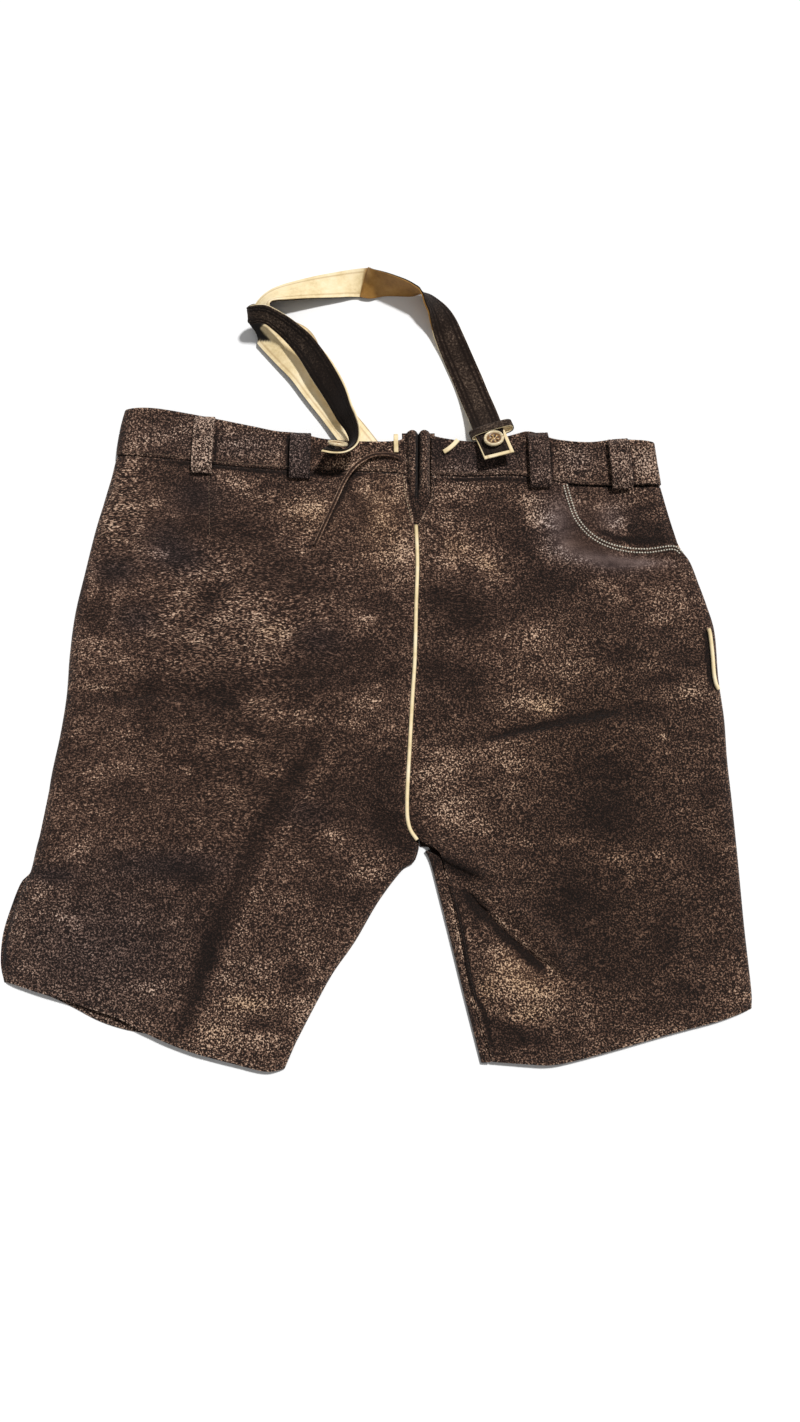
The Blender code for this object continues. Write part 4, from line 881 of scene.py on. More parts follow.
def back_panels(nubuck):
    """Both backs, between the band, side, hem, leg, seat seam and the gusset's notch."""
    seam_left, seam_right = (beside(SEAM[:-1], half) for half in (PIPING_DIAMETER / 2, -PIPING_DIAMETER / 2))
    notch_left = curved(NOTCH_LEFT[:-1] + [tuple(seam_left[0])])
    notch_right = curved(NOTCH_RIGHT[:-1] + [tuple(seam_right[0])])
    leg_left = curved([tuple(seam_left[-1])] + INSEAM_LEFT[1:])
    leg_right = curved([tuple(seam_right[-1])] + STRIP_SEAM)

    inner, _ = joined(notch_left, seam_left, leg_left)
    plan = patch_grid(BAND_SEAM_LEFT, HEM_LEFT, SIDE_LEFT, inner,
                      even_shares(320, PANEL_STEP), even_shares(550, PANEL_STEP))
    leather_sheet("back_left", raised(plan, skin), nubuck, LEATHER, "left right bottom")

    inner, _ = joined(notch_right, seam_right, leg_right)
    top, corners = joined(curved(BAND_SEAM_RIGHT[:4]), curved(SCOOP))
    first = corners[0] * even_shares(125, PANEL_STEP)
    second = corners[0] + (1 - corners[0]) * even_shares(160, PANEL_STEP)
    plan = patch_grid(top, [(99.6, -360.6)] + HEM_RIGHT[1:], inner, SIDE_RIGHT[3:],
                      np.concatenate([first, second[1:]]), even_shares(540, PANEL_STEP))
    leather_sheet("back_right", raised(plan, skin), nubuck, LEATHER,
                  "left right top bottom")


def pocket_facing(nubuck):
    """The facing that shows in the pocket mouth, sunk under the right back."""
    top = [(167, 152.6), (214, 150), (261, 151.6)]
    side = [(261, 151.6), (268.2, 122), (274.5, 99)]
    left = [(167, 152.6), (170, 130), (177, 112)]
    bottom = [(177, 112), (190, 95), (212, 84), (240, 82), (262, 89), (274.5, 99)]
    plan = patch_grid(top, bottom, left, side, even_shares(95, BAND_STEP), even_shares(60, BAND_STEP))

    def below(x, y):
        sunk = LEATHER + 2 * GAP + 0.9 * smooth((168 - y) / 60)
        return np.maximum(back_height(x, y) + relief(x, y, 3.0) - sunk, LEATHER + 2.0)

    leather_sheet("pocket_facing", raised(plan, below), nubuck, FACING_THICKNESS)


def bands(nubuck):
    """The waistband: two halves on the back and two on the front."""
    back = (
        ("left", (BAND_TOP_LEFT, BAND_SEAM_LEFT, BAND_SIDE_LEFT, BAND_END_LEFT), 270, (0.28, 0.045), 0.0101),
        ("right", (BAND_TOP_RIGHT, BAND_SEAM_RIGHT, BAND_END_RIGHT, BAND_SIDE_RIGHT), 210,
         (0.22, 0.045), 0.0082),
    )
    for side, outlines, reach, flat, area in back:
        plan = patch_grid(*outlines, even_shares(reach, BAND_STEP), even_shares(40, BAND_STEP))
        leather_sheet(f"band_back_{side}", raised(plan, band_skin), nubuck, BAND_THICKNESS,
                      "top left right")

    # Each front half has its upper and lower edge, and ends of which the one at the garment's side bulges.
    front = (
        ("left", 0, BAND_SIDE_LEFT[1], (0.28, 0.045), 0.0099,
         [(-235, 222), (-161, 213), (-71, 195), (30.7, 187)], [(-241, 181.6), (-80, 163), (30.7, 152)]),
        ("right", 1, BAND_SIDE_RIGHT[1], (0.23, 0.045), 0.0077,
         [(31.3, 187), (84, 185), (160, 185), (256.5, 190)], [(31.3, 152), (150, 152), (261, 153)]),
    )
    for side, outer, (x, y), flat, area, high, low in front:
        ends = [[high[0], low[0]], [high[-1], low[-1]]]
        ends[outer].insert(1, (x, y - 2))
        plan = patch_grid(high, low, *ends, even_shares(250, 4), even_shares(36, 4))
        leather_sheet(f"band_front_{side}", laid_flat(plan), nubuck, BAND_THICKNESS, "top")


def gusset(nubuck):
    """A bellows gusset: two arches of leather with a deep valley between them, darkened there and low down by
    painted shade.
    """
    levels = curved(GUSSET, 5)
    arch = np.linspace(0, 1, 16)
    bow = np.sin(math.pi * arch).clip(0) ** 0.7
    ground = back_height(levels[:, 2], np.minimum(levels[:, 0], GUSSET_TOP))
    flange = np.array([-FLANGE_REACH, -FLANGE_START])
    rows = []
    for (y, left, valley, right), height in zip(levels, ground):
        swell = float(smooth((y - GUSSET_FLAT) / (GUSSET_FULL - GUSSET_FLAT)))
        xs = np.concatenate([left + flange, left + (valley - left) * arch,
                             valley + (right - valley) * arch[1:], right - flange[::-1]])
        rise = GUSSET_RISE * swell
        zs = np.concatenate([0 * flange, rise * (valley - left) * bow,
                             rise * (right - valley) * bow[1:], 0 * flange])
        wrinkle = 0.25 * swell * np.sin(y * 0.45 + 1.3 * np.sin(xs * 0.4))
        zs = height - LEATHER - GUSSET_BASE + zs + wrinkle
        zs -= GUSSET_VALLEY * swell * np.exp(-((xs - valley) / 2.0) ** 2)
        lift, thick = (BAND_LIFT, BAND_THICKNESS + 0.4) if y > BAND_BOTTOM else (0.0, LEATHER)
        zs[[0, 1, -2, -1]] = height + lift - thick - GAP - FLANGE_DROP
        rows.append(np.stack([xs, np.full(len(xs), y), zs], axis=-1))
    points = np.array(rows)
    obj = grid_object("gusset_leather", points, nubuck)
    # The valley and the low part of the gusset are darkened: painted shade.
    off = np.abs(points[..., 0] - levels[:, 2:3] + 0.6)
    below = smooth((GUSSET_FULL - 6 - points[..., 1]) / 16)
    painted_shade = (1 - below) * np.exp(-(off / 1.5) ** 4)
    tint(obj, 0.1 - 3.0 * painted_shade.ravel() - 0.5 * below.ravel(), 0.1)
    wall(obj, GUSSET_THICKNESS)
    finish_piece(obj, "brown_nubuck", "gusset")


# Strips: straps, belt loops and lace loops, which follow stations.

def strip_frames(stations, shares, fold=None):
    """Middle points and side, outward and running directions, as in part.py.

    Between the two runs of a fold, the side direction turns evenly.
    """
    dense = curved(stations)
    path = along(dense, shares)
    step = 1 / len(dense)
    run = along(dense, np.minimum(shares + step, 1)) - along(dense, np.maximum(shares - step, 0))
    run = unit(run[:, :3])
    flat = unit(np.cross(run, (0, 0, 1)))
    lean = np.radians(path[:, 3])[:, None]
    side = np.cos(lean) * flat - np.sin(lean) * np.cross(flat, run)
    if fold is not None:
        whole = lengths(dense)[-1]
        ends = strip_frames(stations, np.array(fold) / whole)[1]
        share = (shares * whole - fold[0]) / (fold[1] - fold[0])
        inside = (share > 0) & (share < 1)
        eased = smooth(share[inside])[:, None]
        side[inside] = (1 - eased) * ends[0] + eased * ends[1]
        side = unit(side)
    return path[:, :3], side, unit(np.cross(side, run)), run


def place_on(stations, run_in):
    """The frame of a strip at a distance from its first end."""
    return [made[0] for made in strip_frames(stations, np.array([run_in / lengths(curved(stations))[-1]]))]


def layer_section(left, right, low, high, grooves=(), count=36):
    """A leather strip's closed cross section (side, outward), with grooves in its outer face."""
    across = -left + (left + right) * (0.5 - 0.5 * np.cos(np.linspace(0, math.pi, count)))
    inside = np.minimum(across + left, right - across)
    round_off = 1 - np.clip(1 - inside / STRIP_ROUND, 0, 1) ** 2
    outer = low + (high - low) * (0.35 + 0.65 * np.sqrt(round_off.clip(0)))
    for groove in grooves:
        outer = outer - GROOVE_DEPTH * np.exp(-((across - groove) / GROOVE_WIDTH) ** 2)
    inner = np.full(count, low)
    return np.concatenate([np.stack([across, outer], -1), np.stack([across, inner], -1)[::-1]])


def ribbon(name, stations, edges, low, high, material, grooves=(), fold=None, step=STRAP_STEP):
    """One closed layer of a strap, between two outward heights, as wide as `edges` says along its run.

    Also returns the layer's frames, and each point's run and place across.
    """
    whole = lengths(curved(stations))[-1]
    runs, lefts, rights = np.array(edges, float).T
    shares = np.linspace(runs[0] / whole, 1, round((whole - runs[0]) / step) + 1)
    middle, side, outward, _ = strip_frames(stations, shares, fold)
    left, right = (np.interp(shares * whole, runs, reach) for reach in (lefts, rights))
    rows, across = [], []
    for k in range(len(shares)):
        section = layer_section(left[k], right[k], low, high, grooves)
        rows.append(middle[k] + section[:, :1] * side[k] + section[:, 1:] * outward[k])
        across.append(section[:, 0])
    points = np.array(rows)
    count, ring = points.shape[:2]
    faces = grid_faces(count, ring, round_columns=True)
    for row, turned in ((0, 1), (count - 1, -1)):
        for j in range(ring // 2 - 1):
            cap = [row * ring + k for k in (j, j + 1, ring - 2 - j, ring - 1 - j)]
            faces.append(cap[::turned])
    obj = mesh_object(name, points.reshape(-1, 3), faces, material)
    return obj, (middle, side, outward), (np.repeat(shares * whole, ring), np.concatenate(across))


def near_rows(across, rows):
    """One on a sewn row and none away from it."""
    return sum(np.exp(-((across - row) / ROW_WIDTH) ** 2) for row in rows)


def paint_shade_and_ochre(obj, run, across, ochre_and_shade_rows):
    """Writes how dark (painted shade) and how ochre a cream layer is, from its sewn rows and the table of
    shaded and ochre lengths.
    """
    painted_shade = np.zeros_like(run)
    ochre = 0.5 * near_rows(across, CREAM_ROWS)
    for start, end, slant, right, darkness, yellow in ochre_and_shade_rows:
        end = end + slant * (across + STRAP_WIDTH / 2)
        weight = smooth((run - start) / 2) * smooth((end - run) / 1.6) * smooth((right - across) / 1.5)
        painted_shade = np.maximum(painted_shade, darkness * weight)
        ochre = np.maximum(ochre, yellow * weight)
    attribute(obj, "painted_shade", painted_shade)
    attribute(obj, "ochre", ochre)


def strap(name, stations, dark_edges, cream_edges, suede, cream, tones, ochre_and_shade_rows, fold=None):
    """A brace: a dark suede layer outside on a cream one, sewn together in four rows."""
    half = STRAP_THICKNESS / 2
    dark, _, (dark_run, dark_across) = ribbon(
        f"{name}_suede", stations, dark_edges, LAYER_GAP, half, suede, STRAP_ROWS, fold)
    pale, _, (run, across) = ribbon(f"{name}_cream", stations, cream_edges, -half, 0.0, cream, (), fold)
    # The cream layer gets its ochre and its painted shade here.
    paint_shade_and_ochre(pale, run, across, ochre_and_shade_rows)
    for obj, slot in ((dark, "dark_suede"), (pale, "cream_leather")):
        finish_piece(obj, slot, name)
    # The suede is darker along its sewn rows: painted shade in their grooves.
    tint(dark, np.interp(dark_run, *zip(*tones)) - 0.7 * near_rows(dark_across, STRAP_ROWS))
    tint(pale, 0.0)


def keeper(suede, cream):
    """The narrow loop round the right strap, dark outside with a cream lining."""
    centre, side, up, run = place_on(STRAP_RIGHT, KEEPER_AT)
    across = np.linspace(-0.5, 0.5, 7) * KEEPER_WIDTH
    for name, grow, material, slot in (("keeper_suede", KEEPER_OFFSET, suede, "dark_suede"),
                                       ("keeper_lining", -KEEPER_OFFSET, cream, "cream_leather")):
        rows = []
        for angle in np.linspace(2 * math.pi, 0, 73)[:-1]:
            c, s = math.cos(angle), math.sin(angle)
            out = math.copysign(abs(c) ** 0.6, c) * (KEEPER_REACH + grow) + KEEPER_SHIFT
            high = math.copysign(abs(s) ** 0.7, s) * (KEEPER_RISE + grow + c)
            rows.append(centre + side * out + up * high + across[:, None] * run)
        obj = grid_object(name, np.array(rows), material, round_rows=True)
        wall(obj, KEEPER_LAYER, 0.0)
        tint(obj, 0.0)
        finish_piece(obj, slot, "keeper_right")


def belt_loops(nubuck, thread):
    """Belt loops that arch over the band, with a sewn row along each side."""
    half = LOOP_WIDTH / 2
    reach = np.array([-1, 0, 1]) * half
    edges = [(0, half, half), (100, half, half)]
    for number, (x0, y0, x1, y1, tone, cool) in enumerate(LOOPS, 1):
        node = f"belt_loop_{number}"
        stations = []
        for share, room in LOOP_ARCH[::-1]:
            x, y = x0 + (x1 - x0) * share, y0 + (y1 - y0) * share
            top = max(band_top(x + reach, np.full(3, y)))
            stations.append((x, y, top + GAP + LOOP_THICKNESS / 2 + room, 0))
        obj, (middle, side, outward), _ = ribbon(
            f"{node}_leather", stations, edges, -LOOP_THICKNESS / 2, LOOP_THICKNESS / 2,
            nubuck, LOOP_ROWS, step=1.2)
        ring = np.abs(np.linspace(-1, 1, len(obj.data.vertices) // len(middle)))
        tint(obj, tone + 0.5 * np.tile(ring > 0.93, len(middle)), cool)
        finish_piece(obj, "brown_nubuck", node)
        for row, word in zip(LOOP_ROWS, ("left", "right")):
            line = middle + side * row + outward * (LOOP_THICKNESS / 2 - 0.1)
            stitches(f"{node}_row_{word}", line[3:-3], outward[3:-3], thread, pitch=2.7, size=0.5)


def lace_loops(cream):
    """The two cream loops beside the gusset."""
    half = LACE_LOOP_WIDTH / 2
    for name, places in (("lace_loop_left", LACE_LOOP_LEFT), ("lace_loop_right", LACE_LOOP_RIGHT)):
        stations = [(x, y, float(band_top(x, min(y, LACE_LOOP_LEVEL))) + GAP + LACE_LOOP_LIFT + room, 0)
                    for x, y, room in places]
        obj, _, _ = ribbon(f"{name}_cream", stations, [(0, half, half), (60, half, half)],
                           -LACE_LOOP_THICKNESS / 2, LACE_LOOP_THICKNESS / 2, cream, step=0.8)
        tint(obj, 0.0)
        finish_piece(obj, "cream_leather", name)


# Stitches, as joined meshes of small bowed capsules.

def stitches(name, line, normals, material, pitch, size):
    """A row of stitches of a thread `size` thick along a line of points, one every `pitch`."""
    run = lengths(line)
    count = int(run[-1] / pitch)
    at = (np.arange(count) + 0.5) * pitch
    middle, normal = at_runs(line, run, at), at_runs(normals, run, at)
    tangent = unit(at_runs(line, run, at + 0.5) - middle)
    side = unit(np.cross(tangent, normal))
    turn = np.arange(STITCH_SIDES) * 2 * math.pi / STITCH_SIDES
    points, faces = [], []
    for k in range(count):
        first = len(points)
        skew = 0.1 * math.sin(k * 2.3)
        for reach, wide, lift in STITCH_RINGS:
            centre = middle[k] + tangent[k] * reach * pitch * STITCH_SHARE + side[k] * skew * reach * pitch
            centre = centre + normal[k] * lift * size
            for angle in turn:
                across = side[k] * math.cos(angle) + normal[k] * math.sin(angle)
                points.append(centre + across * wide * size / 2)
        last = len(points) - STITCH_SIDES
        faces += grid_faces(len(STITCH_RINGS), STITCH_SIDES, round_columns=True, first=first)
        faces.append(list(range(first, first + STITCH_SIDES))[::-1])
        faces.append(list(range(last, last + STITCH_SIDES)))
    finish_piece(mesh_object(name, points, faces, material), "brown_nubuck")


def on_skin(curve, height, lift=0.12):
    """A flat curve laid on a height field, with its normals."""
    dense = along(curve, even_shares(lengths(curve, 2)[-1], 1.5))
    top = height(dense[:, 0], dense[:, 1])
    slope_x = height(dense[:, 0] + 1, dense[:, 1]) - top
    slope_y = height(dense[:, 0], dense[:, 1] + 1) - top
    normals = np.stack([-slope_x, -slope_y, np.ones(len(top))], axis=-1)
    return np.column_stack([dense, top + lift]), unit(normals)


def seams(pale, light, tan, dark):
    """Every sewn row on the back: band, notch, hems, pocket mouth, dart, hip and strip.

    Columns: name, line, how far to its right, surface, thread, pitch and the thread's thickness.
    """
    rows = [
        ("band_left", BAND_SEAM_LEFT, -3.0, band_skin, tan, 3.3, 0.62),
        ("band_right", BAND_SEAM_RIGHT, -3.0, band_skin, tan, 3.3, 0.62),
        ("notch_left", NOTCH_LEFT, 2.2, skin, light, 3.0, 0.6),
        ("notch_right", NOTCH_RIGHT, -2.2, skin, dark, 3.0, 0.6),
        ("hem_left", HEM_LEFT, -4.6, skin, dark, 3.4, 0.7),
        ("hem_right", HEM_RIGHT[1:], -4.6, skin, dark, 3.4, 0.7),
        ("pocket_outer", MOUTH, 1.5, skin, pale, 2.5, 1.6),
        ("pocket_inner", MOUTH, 4.6, skin, pale, 2.5, 1.45),
        ("dart", [(-154, 167), (-153.5, 140), (-152, 100)], 0, skin, tan, 3.2, 0.5),
        ("hip", [(-254, 105), (-240, 101.5), (-220, 101), (-195, 100)], 0, skin, tan, 3.0, 0.45),
        ("strip", STRIP_SEAM, -2.4, skin, dark, 3.2, 0.6),
    ]
    for name, points, offset, height, thread, pitch, size in rows:
        stitches(f"stitch_{name}", *on_skin(beside(curved(points), offset), height), thread, pitch, size)


# Trim.

def tube(name, line, across, up, width, thickness, material, sides=14):
    """A closed tube of oval section along a line; `across` and `up` are its directions at each point."""
    turn = np.arange(sides) * 2 * math.pi / sides
    ring = np.cos(turn)[None, :, None] * across[:, None] * width / 2
    ring = ring + np.sin(turn)[None, :, None] * up[:, None] * thickness / 2
    faces = grid_faces(len(line), sides, round_columns=True)
    faces.append(list(range(sides))[::-1])
    faces.append(list(range((len(line) - 1) * sides, len(line) * sides)))
    return mesh_object(name, (line[:, None] + ring).reshape(-1, 3), faces, material)


def line_frames(line, normals):
    run = unit(np.gradient(line, axis=0))
    across = unit(np.cross(run, normals))
    return across, np.cross(across, run)


def piping(cream):
    """The corded seat seam, sunk by 1 mm, and the short length beside the knife pocket, 1 mm proud."""
    half = PIPING_DIAMETER / 2
    for node, curve, lift in (("piping_seat", along(SEAM, np.linspace(0.0, 0.985, 200)), half - 1.0),
                              ("piping_knife", curved(KNIFE_PIPING), half + 1.0)):
        line, normals = on_skin(curve, back_height, lift)
        frames = line_frames(line, normals)
        obj = tube(f"{node}_cream", line, *frames, PIPING_DIAMETER, PIPING_DIAMETER, cream)
        finish_piece(obj, "cream_leather", node)


def lace(leather):
    """The free leather lace, from its eyelet to its bare end."""
    route = []
    for x, y, room in LACE:
        ground = band_top(x, y) if y > BAND_BOTTOM else back_height(x, y)
        route.append((x, y, float(ground) + LACE_WIDTH / 2 + GAP + room))
    dense = curved(route)
    line = along(dense, even_shares(lengths(dense)[-1], 1.2))
    frames = line_frames(line, np.tile((0.0, 0.0, 1.0), (len(line), 1)))
    obj = tube("lace_leather", line, *frames, LACE_WIDTH, LACE_THICKNESS, leather, LACE_SIDES)
    # The lace's edges are lighter: partly its paler cut edges, partly a painted highlight.
    rim = np.abs(np.cos(np.arange(LACE_SIDES) * 2 * math.pi / LACE_SIDES)) > 0.6
    tint(obj, np.tile(-0.35 + 1.7 * rim, len(line)), -0.2, sleek=0.8)
    finish_piece(obj, "dark_suede", "lace")


def button(name, stations, run_in, horn, thread):
    """A carved horn button: a pale raised rim round a sunk, darker rosette."""
    centre, _, outward, right = place_on(stations, run_in)
    seat = centre + outward * (STRAP_THICKNESS / 2 + BUTTON_CLEAR)
    ahead = np.cross(outward, right)
    section = curved(BUTTON_SECTION, 3)
    turn = np.arange(BUTTON_STEPS) * 2 * math.pi / BUTTON_STEPS
    radius, level = section[:, :1], section[:, 1:]
    face = (level > 1.5) & (radius < CARVED_RADIUS)
    petals = np.cos(PETALS * turn[None] + 0.5 * np.sin(radius)) * np.exp(-((radius - 3.6) / 1.6) ** 2)
    boss = np.exp(-(radius / 1.3) ** 2)
    fade = np.minimum(1, 3 * smooth(1 - radius / CARVED_RADIUS))
    carve = face * (0.75 * petals + 0.7 * boss) * fade
    points = (seat + (radius * np.cos(turn))[..., None] * right + (radius * np.sin(turn))[..., None] * ahead
              + (level + carve)[..., None] * outward)
    obj = grid_object(name + "_horn", points, horn, round_columns=True)
    attribute(obj, "carved", (smooth((CARVED_RADIUS + 0.6 - radius) / 1.2) * np.ones_like(turn)).ravel())
    attribute(obj, "raised", carve.ravel())
    finish_piece(obj, "horn", name)
    shank = np.array([seat - outward * BUTTON_CLEAR * share for share in np.linspace(-0.1, 1.05, 8)])
    post = tube(name + "_thread", shank, np.tile(right, (8, 1)), np.tile(ahead, (8, 1)),
                SHANK_DIAMETER, SHANK_DIAMETER, thread)
    finish_piece(post, "brown_nubuck")


# Finishes.

def linear(colour):
    """An sRGB colour of 0 to 255 as linear numbers."""
    share = np.asarray(colour, float) / 255
    return tuple(np.where(share <= 0.04045, share / 12.92, ((share + 0.055) / 1.055) ** 2.4))


class Shader:
    """A material's node tree, with short calls for the nodes that the finishes use."""

    def __init__(self, name, roughness, **settings):
        self.material = bpy.data.materials.new(name)
        self.material.use_nodes = True
        self.tree = self.material.node_tree
        self.surface = self.tree.nodes["Principled BSDF"]
        for socket, value in {"Roughness": roughness, **settings}.items():
            self.surface.inputs[socket.replace("_", " ")].default_value = value

    def node(self, kind, inputs=(), **settings):
        made = self.tree.nodes.new("ShaderNode" + kind)
        for key, value in settings.items():
            setattr(made, key, value)
        for key, value in dict(inputs).items():
            if isinstance(value, bpy.types.NodeSocket):
                self.tree.links.new(value, made.inputs[key])
            else:
                made.inputs[key].default_value = value
        return made

    def math(self, operation, first, second, clamp=False):
        return self.node("Math", {0: first, 1: second}, operation=operation, use_clamp=clamp).outputs[0]

    def vector_math(self, operation, first, second):
        return self.node("VectorMath", {0: first, 1: second}, operation=operation).outputs[0]

    def add(self, first, second, clamp=False):
        return self.math("ADD", first, second, clamp)

    def times(self, first, second, clamp=False):
        return self.math("MULTIPLY", first, second, clamp)

    def stretched(self, value, middle, gain, clamp=False):
        """How far a value lies above `middle`, times `gain`."""
        return self.times(self.math("SUBTRACT", value, middle), gain, clamp)

    def blend(self, share, first, second):
        """Mixes two numbers."""
        return self.node("Mix", {0: share, 2: first, 3: second}, data_type="FLOAT").outputs[0]

    def tinted(self, share, first, second, kind="MIX"):
        """Mixes two colours."""
        inputs = {0: share, 6: first, 7: second}
        return self.node("Mix", inputs, data_type="RGBA", blend_type=kind).outputs[2]

    def place(self, scale=(1, 1, 1), turn=0.0, warp=0.0, warp_size=0.05):
        """Object coordinates, turned and scaled, and pushed about by a soft noise."""
        where = self.node("TexCoord").outputs["Object"]
        if warp:
            soft = self.node("TexNoise", {"Vector": where, "Scale": 1 / warp_size, "Detail": 1.0})
            push = soft.outputs["Color"]
            push = self.vector_math("SUBTRACT", push, (0.5, 0.5, 0.5))
            push = self.vector_math("MULTIPLY", push, (warp, warp, warp))
            where = self.vector_math("ADD", where, push)
        turned = {"Vector": where, "Rotation": (0, 0, math.radians(turn)), "Scale": scale}
        return self.node("Mapping", turned).outputs[0]

    def noise(self, where, size, detail=2.0, roughness=0.5, distortion=0.0):
        """A noise with waves of about `size` metres."""
        inputs = {"Vector": where, "Scale": 0.5 / size, "Detail": detail, "Roughness": roughness,
                  "Distortion": distortion}
        return self.node("TexNoise", inputs).outputs["Fac"]

    def attribute(self, name):
        return self.node("Attribute", attribute_name=name).outputs["Fac"]

    def ramp(self, share, stops):
        """A colour ramp from (position, sRGB colour of 0 to 255)."""
        made = self.node("ValToRGB", {"Fac": share})
        elements = made.color_ramp.elements
        while len(elements) < len(stops):
            elements.new(0.5)
        for element, (position, colour) in zip(elements, stops):
            element.position = position
            element.color = (*linear(colour), 1.0)
        return made.outputs["Color"]

    def bump(self, height, depth, strength=1.0, **others):
        inputs = {"Height": height, "Distance": depth, "Strength": strength, **others}
        return self.node("Bump", inputs).outputs["Normal"]

    def use(self, colour, normal):
        self.tree.links.new(colour, self.surface.inputs["Base Color"])
        self.tree.links.new(normal, self.surface.inputs["Normal"])
        return self.material


def nubuck_finish():
    """Worn nubuck: light tips of grain over a dark ground, rubbed pale in places and cool in others."""
    shader = Shader("worn_nubuck", 0.86, Specular_IOR_Level=0.14, Sheen_Weight=0.05, Sheen_Roughness=0.5)
    plain = shader.place(warp=0.004, warp_size=0.02)
    level = shader.place(scale=(0.48, 1.2, 1.0), warp=0.014, warp_size=0.028)
    slanted = shader.place(scale=(0.5, 1.25, 1.0), turn=-55, warp=0.008, warp_size=0.03)
    grains = [shader.noise(where, GRAIN_SIZE, 2.0, 0.55, 0.4) for where in (plain, level, slanted)]
    speckle = shader.blend(shader.attribute("level"), grains[0], grains[1])
    speckle = shader.blend(shader.attribute("slanted"), speckle, grains[2])
    cluster = shader.noise(level, 0.0035, 3.0, 0.6)
    blotch = shader.noise(level, 0.010, 4.0, 0.62)
    cloud = shader.noise(shader.place(warp=0.03, warp_size=0.1), 0.05, 3.0, 0.55)

    edged = shader.stretched(blotch, 0.32, 2.6, clamp=True)
    broken = shader.times(shader.attribute("tone"), shader.add(edged, 0.55))
    tone = shader.add(shader.times(broken, TONE_SHARE), NUBUCK_TONE)
    for wave, share in ((cluster, 0.22), (blotch, 0.32), (cloud, 0.24)):
        tone = shader.add(tone, shader.stretched(wave, 0.5, share))
    tone = shader.math("MAXIMUM", tone, 0.08)
    sharp = shader.add(shader.stretched(speckle, SPECKLE_MIDDLE, SPECKLE_GAIN), 0.5, clamp=True)
    speck = shader.blend(sharp, SPECKLE_LOW, SPECKLE_HIGH)
    speck = shader.blend(shader.attribute("sleek"), speck, 1.0)
    colour = shader.ramp(shader.times(tone, speck, clamp=True), NUBUCK_STOPS)
    for share, tint_colour in ((0.8, COOL_TINT), (-0.8, WARM_TINT)):
        weight = shader.times(shader.attribute("cool"), share, clamp=True)
        colour = shader.tinted(weight, colour, tint_colour, "MULTIPLY")
    coarse = shader.bump(cluster, 0.0016, 0.6)
    return shader.use(colour, shader.bump(speckle, 0.0030, 0.9, Normal=coarse))


def suede_finish():
    """Dark suede with pale loose fibres."""
    shader = Shader("dark_suede", 0.92, Specular_IOR_Level=0.08, Sheen_Weight=0.06, Sheen_Roughness=0.5)
    where = shader.place(warp=0.004, warp_size=0.015)
    fibre = shader.noise(where, 0.0009, 3.0, 0.7)
    cloud = shader.noise(where, 0.012, 3.0, 0.6)
    tone = shader.add(shader.times(fibre, 0.9), shader.times(cloud, 0.35))
    tone = shader.add(tone, shader.times(shader.attribute("tone"), 0.4))
    return shader.use(shader.ramp(tone, SUEDE_STOPS), shader.bump(fibre, 0.0009, 0.8))


def cream_finish():
    """Cream leather with a faint mottle and a fine grain, ochre, and dark with painted shade, where its
    attributes say so.
    """
    shader = Shader("cream_leather", 0.62, Specular_IOR_Level=0.35)
    where = shader.place(warp=0.004, warp_size=0.02)
    mottle = shader.noise(where, 0.010, 4.0, 0.6)
    grain = shader.noise(where, 0.0012, 2.0, 0.6)
    tone = shader.add(shader.times(mottle, 0.8), shader.times(grain, 0.2))
    colour = shader.ramp(tone, CREAM_STOPS)
    ochre = shader.ramp(tone, OCHRE_STOPS)
    colour = shader.tinted(shader.attribute("ochre"), colour, ochre)
    # Painted shade darkens the cream in the fold's hollow and where the other brace shades it.
    colour = shader.tinted(shader.attribute("painted_shade"), colour, PAINTED_SHADE_COLOUR)
    return shader.use(colour, shader.bump(grain, 0.0004, 0.5))


def horn_finish():
    """Pale horn rim, with a brown and gold carved middle."""
    shader = Shader("carved_horn", 0.34, Specular_IOR_Level=0.5, Coat_Weight=0.25, Coat_Roughness=0.2)
    streak = shader.noise(shader.place(scale=(1, 3, 1), warp=0.004, warp_size=0.01), 0.002, 3.0, 0.6)
    rim = shader.ramp(streak, RIM_STOPS)
    high = shader.add(shader.times(shader.attribute("raised"), 0.55), 0.35)
    middle = shader.ramp(shader.add(high, shader.times(streak, 0.3)), CARVED_STOPS)
    colour = shader.tinted(shader.attribute("carved"), rim, middle)
    return shader.use(colour, shader.bump(streak, 0.0003, 0.3))


def thread_finish(name, colour):
    """Waxed thread with its twist."""
    shader = Shader(name, 0.7)
    twist = shader.noise(shader.place(), 0.0005, 2.0)
    low = tuple(channel * 0.62 for channel in colour)
    return shader.use(shader.ramp(twist, [(0.35, low), (0.65, colour)]), shader.bump(twist, 0.0003, 0.6))


# The stage.

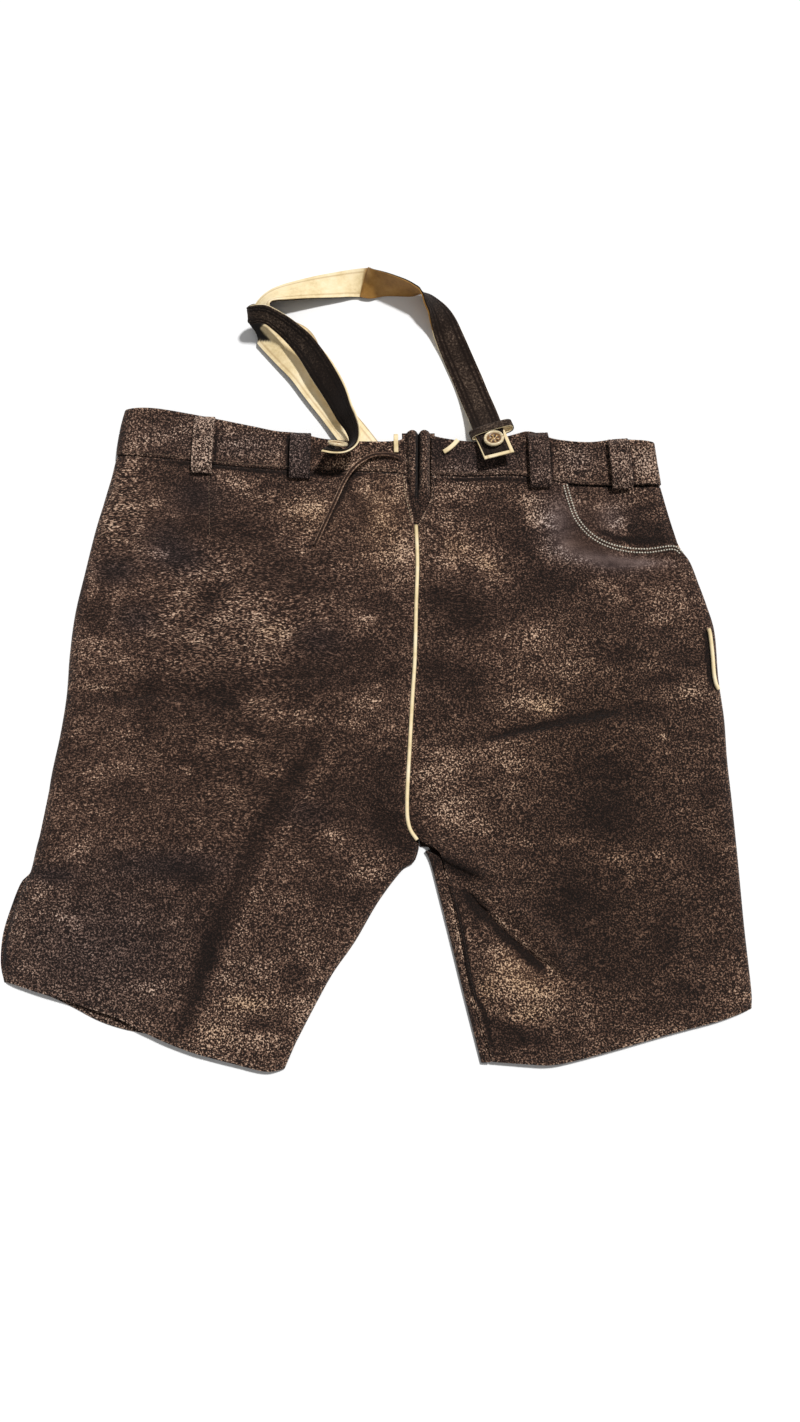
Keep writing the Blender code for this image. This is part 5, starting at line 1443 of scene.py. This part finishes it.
def stage():
    scene = bpy.context.scene
    scene.view_settings.view_transform = "Standard"
    camera = bpy.data.objects.new("camera", bpy.data.cameras.new("camera"))
    camera.location = TARGET + CAMERA_BACK
    camera.rotation_euler = (math.radians(CAMERA_TILT), 0, 0)
    camera.data.lens = LENS
    scene.collection.objects.link(camera)
    scene.camera = camera

    sun = bpy.data.objects.new("key_light", bpy.data.lights.new("key_light", "SUN"))
    sun.data.energy = SUN_STRENGTH
    sun.data.angle = math.radians(SUN_SPREAD)
    azimuth, elevation = math.radians(SUN_AZIMUTH), math.radians(SUN_ELEVATION)
    towards = Vector((math.sin(azimuth) * math.cos(elevation), math.cos(azimuth) * math.cos(elevation),
                      math.sin(elevation)))
    sun.rotation_euler = towards.to_track_quat("Z", "Y").to_euler()
    scene.collection.objects.link(sun)

    world = bpy.data.worlds.new("studio")
    world.use_nodes = True
    background = world.node_tree.nodes["Background"].inputs
    background["Color"].default_value = (1.0, 1.0, 1.0, 1.0)
    background["Strength"].default_value = SKY_STRENGTH
    scene.world = world

    shader = Shader("pale_floor", 0.9)
    shader.surface.inputs["Base Color"].default_value = FLOOR_COLOUR
    half = FLOOR_SIZE / 2 / MM
    corners = [(-half, -half, 0), (half, -half, 0), (half, half, 0), (-half, half, 0)]
    floor = mesh_object("floor", np.array(corners) + CENTRE, [(0, 1, 2, 3)], shader.material)
    floor.location.z = -FLOOR_DROP * MM


def clear_scene():
    for obj in list(bpy.data.objects):
        bpy.data.objects.remove(obj, do_unlink=True)


clear_scene()
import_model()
stage()

nubuck = nubuck_finish()
suede = suede_finish()
cream = cream_finish()
horn = horn_finish()
pale_thread = thread_finish("pale_thread", (244, 236, 216))
light_thread = thread_finish("light_thread", (206, 184, 152))
tan_thread = thread_finish("tan_thread", (134, 110, 88))
dark_thread = thread_finish("dark_thread", (58, 44, 36))

lace(nubuck)
lace_loops(cream)
front_panels(nubuck)
inseam_roll(nubuck)
back_panels(nubuck)
pocket_facing(nubuck)
bands(nubuck)
gusset(nubuck)
piping(cream)
belt_loops(nubuck, dark_thread)
strap("strap_right", STRAP_RIGHT, DARK_RIGHT_EDGES, CREAM_RIGHT_EDGES, suede, cream,
      RIGHT_SUEDE, RIGHT_OCHRE_AND_PAINTED_SHADE)
strap("strap_left", STRAP_LEFT, DARK_LEFT_EDGES, CREAM_LEFT_EDGES, suede, cream,
      LEFT_SUEDE, LEFT_PAINTED_SHADE, LEFT_FOLD)
keeper(suede, cream)
button("button_right", STRAP_RIGHT, BUTTON_RIGHT_AT, horn, light_thread)
button("button_left", STRAP_LEFT, BUTTON_LEFT_AT, horn, light_thread)
seams(pale_thread, light_thread, tan_thread, dark_thread)
